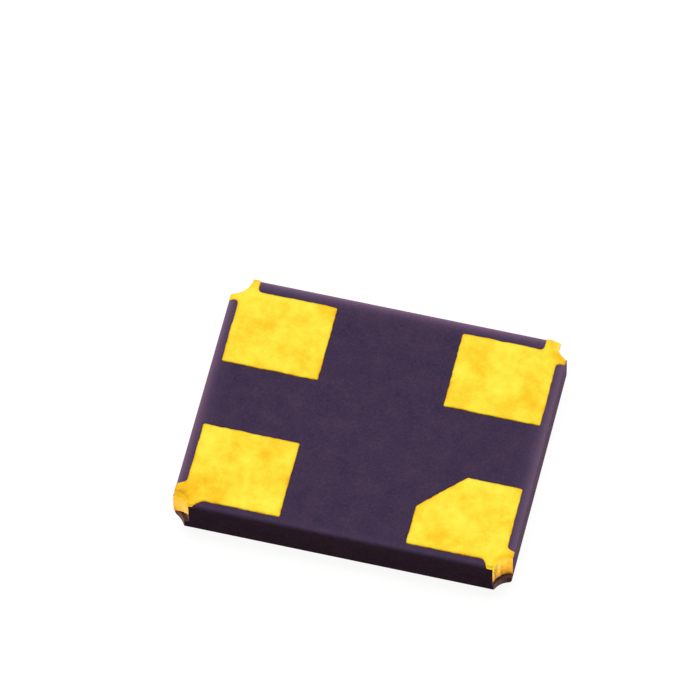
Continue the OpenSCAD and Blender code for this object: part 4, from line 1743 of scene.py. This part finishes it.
@dataclass
class Oscillator:
    """The die with its land, attach, pads and bond wires, and the tracks that they meet.

    Attributes:
        die_r: Radius of the die's corners.
        die_edge: Scribe step round the circuit face, as insets and heights from that face.
        wires, long_side_wires: How many wires there are, and how many of them leave over the long sides.
        bond_pad_inset, bond_pitch_long, bond_pitch_short: Places of the bond pads.
        wire_d, wire_bend_r, wire_steps: The wire, its bend and its points along the span.
        wire_sink, wire_stub, wire_neck: Heights at which its first points lie.
        stitch_gap, stitch_sink, stitch_tip: How the wire meets the track, the last two in wire radii.
        ball_d, ball_h: The ball and its height against its width.
        ball_segments, ball_rings, wire_segments: How finely ball and wire are divided.
        die_finish, gold_finish, wire_finish, pad_finish, attach_finish: What each is made of.
    """

    die_r: float = 0.004
    die_edge: tuple[Pair, ...] = ((0.0, 0.022), (0.0015, 0.020), (0.006, 0.004), (0.012, 0.003), (0.015, 0.0))
    wires: int = 6
    long_side_wires: int = 4
    bond_pad_inset: float = 0.07
    bond_pitch_long: float = 0.54
    bond_pitch_short: float = 0.30
    wire_d: float = 0.020
    wire_bend_r: float = 0.020
    wire_steps: int = 28
    wire_sink: float = 0.001
    wire_stub: float = 0.010
    wire_neck: float = 0.022
    stitch_gap: float = 0.004
    stitch_sink: float = 0.6
    stitch_tip: float = 0.2
    ball_d: float = 0.050
    ball_h: float = 0.36
    ball_segments: int = 24
    ball_rings: int = 12
    wire_segments: int = 16
    die_finish: Finish = PolishedSilicon("polished_silicon")
    gold_finish: Finish = Plating(
        "inner_gold_plating", light=(1.0, 0.76, 0.28), plain=(0.95, 0.66, 0.20), deep=(0.80, 0.48, 0.12),
        mottle_per_mm=20.0)
    wire_finish: Finish = MetalFilm("drawn_gold", tone=(0.98, 0.72, 0.26), roughness=0.22)
    pad_finish: Finish = MetalFilm("bond_pad_film", tone=(0.78, 0.78, 0.80))
    attach_finish: Finish = FilledAdhesive("filled_silver_paste")

    def __post_init__(self) -> None:
        """Takes the die's place from the CAD."""
        self.die = Extent.of("oscillator_die")

    def build_die(self) -> None:
        """Makes the die: a sawn block with a scribe step round its circuit face."""
        levels = [(0.0, self.die.high[2])] + [(i, self.die.low[2] + z) for i, z in self.die_edge]
        block(self.die, levels, "circuit_die", self.die_r, arc_steps=2, soft_steps=1, side_steps=6,
              slot=Slot.SILICON, finish=self.die_finish, node="oscillator_die")

    def wire_start(self, number: int) -> tuple[np.ndarray, np.ndarray, float]:
        """Where a bond wire leaves the die.

        Args:
            number: Number of the wire.

        Returns:
            Its start and its heading in plan, and how far along that its node reaches.
        """
        node, die = Extent.of(f"bond_wire_{number}"), self.die
        if number <= self.long_side_wires:
            sx, sy = list(Corner)[number - 1].value
            start = np.array((die.middle[0] + sx * self.bond_pitch_long / 2,
                              sy * (die.size[1] / 2 - self.bond_pad_inset)))
            return start, np.array((0.0, sy)), abs(node.high[1] if sy > 0 else node.low[1]) - abs(start[1])
        side = 1 if number == self.long_side_wires + 1 else -1
        start = np.array((die.low[0] + self.bond_pad_inset, side * self.bond_pitch_short / 2))
        return start, np.array((-1.0, 0.0)), start[0] - node.low[0]

    def wire_route(self, number: int) -> list[Point]:
        """Centre line of a bond wire, from its ball on the die to its stitch on the track.

        Args:
            number: Number of the wire.

        Returns:
            Its points.
        """
        node, pad_z = Extent.of(f"bond_wire_{number}"), Extent.of("bond_pads").low[2]
        start, way, far = self.wire_start(number)
        r, bend = self.wire_d / 2, self.wire_bend_r
        top, foot = node.low[2] + r, node.high[2] - r * self.stitch_sink
        route = [(0.0, pad_z - self.wire_sink), (0.0, pad_z - self.wire_stub), (0.0, top + self.wire_neck)]
        route += [(bend * (1 - math.cos(a)), top + bend * (1 - math.sin(a)))
                  for a in np.linspace(0.2, math.pi / 2, 5)]
        route += [(bend + (far - 2 * bend) * t, top + (foot - top) * (1 - math.cos(math.pi * t)) / 2)
                  for t in np.linspace(0, 1, self.wire_steps)[1:]]
        route.append((far - self.stitch_gap, foot + r * self.stitch_tip))
        return [(start[0] + way[0] * d, start[1] + way[1] * d, z) for d, z in route]

    def wire_tree(self) -> PathTree:
        """Tree that sweeps a round section along a path, with a flattened ball at its start.

        Returns:
            The tree.
        """
        tree = PathTree("bond_wire_sweep", {
            "Radius": self.wire_d / 2 * MM, "Ball Radius": self.ball_d / 2 * MM, "Ball Height": self.ball_h,
            "Finish": self.wire_finish.material()})
        given = tree.given
        section = tree.node("GeometryNodeCurvePrimitiveCircle", {
            "Resolution": self.wire_segments, "Radius": given["Radius"]})
        tube = tree.node("GeometryNodeCurveToMesh", {
            "Curve": given["Geometry"], "Profile Curve": section.outputs["Curve"], "Fill Caps": True})
        points = tree.node("GeometryNodeCurveToPoints", {"Curve": given["Geometry"]}, mode="EVALUATED")
        index = tree.node("GeometryNodeInputIndex")
        later = tree.node("FunctionNodeCompare", {2: index.outputs[0]}, data_type="INT",
                          operation="GREATER_THAN")
        first = tree.node("GeometryNodeDeleteGeometry", {
            "Geometry": points.outputs["Points"], "Selection": later.outputs[0]}, domain="POINT")
        ball = tree.node("GeometryNodeMeshUVSphere", {
            "Segments": self.ball_segments, "Rings": self.ball_rings, "Radius": given["Ball Radius"]})
        flat = tree.node("ShaderNodeCombineXYZ", {"X": 1.0, "Y": 1.0, "Z": given["Ball Height"]})
        placed = tree.node("GeometryNodeInstanceOnPoints", {
            "Points": first.outputs["Geometry"], "Instance": ball.outputs["Mesh"], "Scale": flat.outputs[0]})
        joined = tree.node("GeometryNodeJoinGeometry", {"Geometry": placed.outputs["Instances"]})
        tree.fill(joined, {"Geometry": tube.outputs["Mesh"]})
        tree.end(joined.outputs["Geometry"])
        return tree

    def build(self) -> None:
        """Makes the die and wires, and dresses the films whose CAD shape stays."""
        self.build_die()
        tree = self.wire_tree()
        for number in range(1, self.wires + 1):
            wire = tree.run(self.wire_route(number), False, f"gold_wire_{number}")
            settle(wire, self.wire_finish, [f"bond_wire_{number}"])
            dress_node(f"track_{number}", self.gold_finish)
        dress_node("die_land", self.gold_finish)
        dress_node("die_attach", self.attach_finish)
        dress_node("bond_pads", self.pad_finish)


@dataclass
class CrystalUnit:
    """The quartz blank with its electrodes, lands and adhesive dots.

    Attributes:
        blank_r, bevel, bevel_turn: Corner radius and bevel of the blank, and its loops in bevels.
        dot_waist, dot_uneven, dot_swings: Width of a dot at its ends against its middle, and its waver.
        dot_steps, dot_loops: How finely a dot is divided round and up.
        gold_finish, adhesive_finish, quartz_finish, silver_finish: What each is made of.
    """

    gold_finish: Finish
    adhesive_finish: Finish
    blank_r: float = 0.02
    bevel: float = 0.012
    bevel_turn: tuple[Pair, ...] = ((1.0, 0.0), (0.3, 0.5), (0.0, 1.3))
    dot_waist: float = 0.86
    dot_uneven: float = 0.03
    dot_swings: float = 1.1
    dot_steps: int = 48
    dot_loops: int = 9
    quartz_finish: Finish = LappedQuartz("lapped_quartz")
    silver_finish: Finish = MetalFilm("evaporated_silver")

    def build_blank(self) -> None:
        """Makes the blank with its lapped edges."""
        blank = Extent.of("quartz_blank")
        edge = [(self.bevel * i, self.bevel * d) for i, d in self.bevel_turn]
        levels = [(i, blank.low[2] + d) for i, d in edge] + [(i, blank.high[2] - d) for i, d in edge[::-1]]
        block(blank, levels, "crystal_blank", self.blank_r, arc_steps=6,
              slot=Slot.QUARTZ, finish=self.quartz_finish, node="quartz_blank")

    def build_dot(self, side: str, seed: float) -> None:
        """Makes one dot of adhesive: squeezed, slightly uneven, bulging between land and crystal.

        Args:
            side: Which dot.
            seed: Seed of its waver.
        """
        dot = Extent.of(f"glue_dot_{side}")
        angles = np.linspace(0, 2 * math.pi, self.dot_steps, endpoint=False)
        circle = np.column_stack([np.cos(angles), np.sin(angles)])
        uneven = 1 + self.dot_uneven * (ripple(circle, self.dot_swings, seed) - 1)
        form = Form()
        loops: list[Loop] = []
        for t in np.linspace(0, 1, self.dot_loops):
            bulge = self.dot_waist + (1 - self.dot_waist) * math.sin(math.pi * t)
            edge = dot.middle[:2] + circle * (dot.size[0] / 2 * bulge * uneven)[:, None]
            z = np.full(self.dot_steps, dot.low[2] + dot.size[2] * t)
            loops.append(form.loop(np.column_stack([edge, z])))
        form.loft(loops)
        settle(form.piece(f"adhesive_dot_{side}"), self.adhesive_finish, [f"glue_dot_{side}"])

    def build(self) -> None:
        """Makes the blank and dots, and dresses lands and electrodes."""
        self.build_blank()
        for seed, side in ((4.0, "left"), (5.0, "right")):
            self.build_dot(side, seed)
            dress_node(f"crystal_land_{side}", self.gold_finish)
        for side in ("die", "lid"):
            dress_node(f"{side}_side_electrode", self.silver_finish)


# --- Studio ---


@dataclass(frozen=True)
class Lamp:
    """Round soft lamp: where it hangs, and how bright a white surface that faces it becomes."""

    name: str
    way: Point
    level: float
    radius: float
    tint: Colour = (1.0, 1.0, 1.0)
    distance: float = 0.30

    def hang(self) -> None:
        """Hangs the lamp. Polished surfaces don't mirror it."""
        lamp = bpy.data.lights.new(self.name, "AREA")
        lamp.shape = "DISK"
        lamp.size = 2 * self.radius
        lamp.energy = self.level * math.pi ** 2 * (self.distance ** 2 + self.radius ** 2)
        lamp.color = self.tint
        holder = bpy.data.objects.new(self.name, lamp)
        direction = Vector(self.way).normalized()
        holder.location = direction * self.distance
        holder.rotation_mode = "QUATERNION"
        holder.rotation_quaternion = direction.to_track_quat("Z", "Y")
        holder.visible_glossy = False
        bpy.context.scene.collection.objects.link(holder)


@dataclass
class Studio:
    """Pale floor, soft light and the camera.

    Attributes:
        floor_size, floor_height: The floor, just under the part so that they don't touch.
        floor_glow, floor_shown: Own light and shade of the floor as it is seen. The shade takes the shadow.
        floor_bounce, floor_mirrored, floor_shade: What it throws back on the part and shows in metal.
        floor_clear_mm: Rays this short pass it, so that the face that lies on it isn't black.
        key, panels, under: The lamps above, at the horizon and below.
        ambient, ambient_tint: Light from all round on what isn't polished.
        room_low, room_high, room_rise: What metal mirrors from low to high, and between which heights.
        front_level, front_edge, front_top: The dim patch in front that metal mirrors, and its bounds.
        eye_mm, look, up, lens_mm, sensor_mm, clip: The camera.
    """

    floor_size: float = 0.9
    floor_height: float = -0.00002
    floor_glow: float = 0.92
    floor_shown: float = 0.09
    floor_bounce: Colour = (0.34, 0.21, 0.13)
    floor_mirrored: Colour = (0.75, 0.63, 0.52)
    floor_shade: float = 0.25
    floor_clear_mm: float = 0.03
    key: Lamp = Lamp("key_softbox", (-0.04, 0.02, 1.0), 1.20, 0.12)
    panels: tuple[Lamp, ...] = (
        Lamp("left_panel", (-1.0, 0.20, 0.0), 5.6, 0.005, (1.0, 0.86, 0.60)),
        Lamp("right_panel", (1.0, 0.20, 0.0), 3.2, 0.005, (1.0, 0.95, 0.72)),
        Lamp("back_panel", (0.0, 1.0, 0.0), 6.6, 0.005, (1.0, 0.88, 0.66)))
    under: Lamp = Lamp("under_fill", (0.2, -0.3, -1.0), 0.7, 0.2)
    ambient: float = 0.16
    ambient_tint: Colour = (1.0, 0.93, 0.74)
    room_low: float = 0.9
    room_high: float = 1.0
    front_level: float = 0.62
    front_edge: Pair = (-0.93, -0.62)
    front_top: Pair = (0.80, 0.95)
    room_rise: Pair = (-0.1, 0.75)
    eye_mm: Point = (11.400, -44.265, 81.06)
    look: Point = (-0.1267, 0.4840, -0.8659)
    up: Point = (-0.1987, 0.8428, 0.5002)
    lens_mm: float = 514.29
    sensor_mm: float = 36.0
    clip: Pair = (0.005, 5.0)

    def lay_floor(self) -> None:
        """Makes the pale floor. It keeps the soft shadow, and from below it isn't in the way."""
        half = self.floor_size / 2
        mesh = bpy.data.meshes.new("floor")
        corners = [(x * half, y * half, self.floor_height) for x, y in ((-1, -1), (1, -1), (1, 1), (-1, 1))]
        mesh.from_pydata(corners, [], [(0, 1, 2, 3)])
        mesh.materials.append(self.floor_material())
        floor = bpy.data.objects.new("floor", mesh)
        bpy.context.scene.collection.objects.link(floor)

    def floor_material(self) -> bpy.types.Material:
        """Near-white where it is seen or mirrored, darker in what it throws back on the object.

        It is clear from below, and to rays from what lies almost on it.

        Returns:
            The material.
        """
        material = bpy.data.materials.new("pale_floor")
        material.use_nodes = True
        shading = Shading(material.node_tree)
        ray = shading.node("ShaderNodeLightPath").outputs
        bounce = shading.plain("ShaderNodeBsdfDiffuse", self.floor_bounce)
        mirrored = shading.lit(self.floor_shade, self.floor_mirrored)
        seen = shading.lit(self.floor_shown, (self.floor_glow,) * 3)
        look = shading.either(shading.in_polish(), bounce, mirrored)
        look = shading.either(shading.to_camera(), look, seen)
        near = shading.math("LESS_THAN", ray["Ray Length"], self.floor_clear_mm * MM)
        below = shading.node("ShaderNodeNewGeometry").outputs["Backfacing"]
        clear = shading.plain("ShaderNodeBsdfTransparent", (1.0, 1.0, 1.0))
        shading.surface(shading.either(shading.math("MAXIMUM", near, below), look, clear))
        return material

    def light_world(self) -> None:
        """Makes the room: white where it is seen; in metal, pale all round with a dim patch in front."""
        world = bpy.data.worlds.new("soft_room")
        bpy.context.scene.world = world
        world.use_nodes = True
        world.cycles.sampling_method = "NONE"
        shading = Shading(world.node_tree)
        way = shading.node("ShaderNodeTexCoord").outputs["Generated"]
        x, y, z = shading.node("ShaderNodeSeparateXYZ", {0: way}).outputs
        height = shading.span(z, *self.room_rise, self.room_low, self.room_high)
        squares = shading.math("ADD", shading.math("MULTIPLY", x, x), shading.math("MULTIPLY", y, y))
        heading = shading.math("DIVIDE", y, shading.math("SQRT", squares))
        open_side = shading.span(heading, *self.front_edge)
        overhead = shading.span(z, *self.front_top)
        pale = shading.span(shading.math("MAXIMUM", open_side, overhead), 0.0, 1.0, self.front_level, 1.0)
        mirror = shading.background(shading.math("MULTIPLY", height, pale), (1.0, 1.0, 1.0))
        ambient = shading.background(self.ambient, self.ambient_tint)
        white = shading.background(1.0, (1.0, 1.0, 1.0))
        unseen = shading.either(shading.in_polish(), ambient, mirror)
        shading.surface(shading.either(shading.to_camera(), unseen, white), "ShaderNodeOutputWorld")

    def set_camera(self) -> None:
        """Places the camera at the angle from which the part is shown."""
        data = bpy.data.cameras.new("camera")
        data.lens, data.sensor_width = self.lens_mm, self.sensor_mm
        data.clip_start, data.clip_end = self.clip
        camera = bpy.data.objects.new("camera", data)
        look, up = Vector(self.look).normalized(), Vector(self.up).normalized()
        right = look.cross(up).normalized()
        up = right.cross(look)
        turn = Matrix((right, up, -look)).transposed()
        camera.matrix_world = Matrix.Translation(Vector(self.eye_mm) * MM) @ turn.to_4x4()
        bpy.context.scene.collection.objects.link(camera)
        bpy.context.scene.camera = camera

    def build(self) -> None:
        """Makes floor, light and camera."""
        bpy.context.scene.view_settings.view_transform = "Standard"
        self.lay_floor()
        self.light_world()
        for lamp in (self.key, *self.panels, self.under):
            lamp.hang()
        self.set_camera()
        LOG.info("studio: floor, room, %d lamps and camera", len(self.panels) + 2)


def main() -> None:
    """Builds and dresses the oscillator, then its studio."""
    logging.basicConfig(level=logging.INFO, format="%(name)s: %(message)s")
    package = CeramicPackage()
    package.build()
    # The tones in these calls paint shade on the gold.
    Terminal(1, Corner.FRONT_RIGHT, package, x_ear=Ear(0.232, 0.232), y_ear=Ear(0.258, 0.212, 0.026, 0.016),
             crease=Bore(-0.020, 0.0, 0.179), fold_h=0.014, foot_x=0.288, foot_y=0.368, crease_shade=0.60,
             index_cut=0.40).build()
    Terminal(2, Corner.FRONT_LEFT, package, x_ear=Ear(0.245, 0.212), y_ear=Ear(0.285, 0.200, 0.020, 0.020),
             crease=Bore(0.0, -0.035, 0.176), fold_h=0.045, foot_x=0.322, foot_y=0.440, crease_shade=0.50,
             fold_shade=0.50, deep_patch=(0.22, 0.24, 0.35)).build()
    Terminal(3, Corner.BACK_LEFT, package, x_ear=Ear(0.257, 0.272), y_ear=Ear(0.252, 0.246),
             crease=Bore(0.0, 0.033, 0.178), crease_shade=0.45).build()
    Terminal(4, Corner.BACK_RIGHT, package, x_ear=Ear(0.257, 0.235, 0.049), y_ear=Ear(0.220, 0.220),
             crease=Bore(-0.012, 0.031, 0.175), fold_h=0.035, crease_shade=0.35, fold_shade=0.0).build()
    Enclosure().build()
    oscillator = Oscillator()
    oscillator.build()
    CrystalUnit(oscillator.gold_finish, oscillator.attach_finish).build()
    Studio().build()


if __name__ == "__main__":
    main()
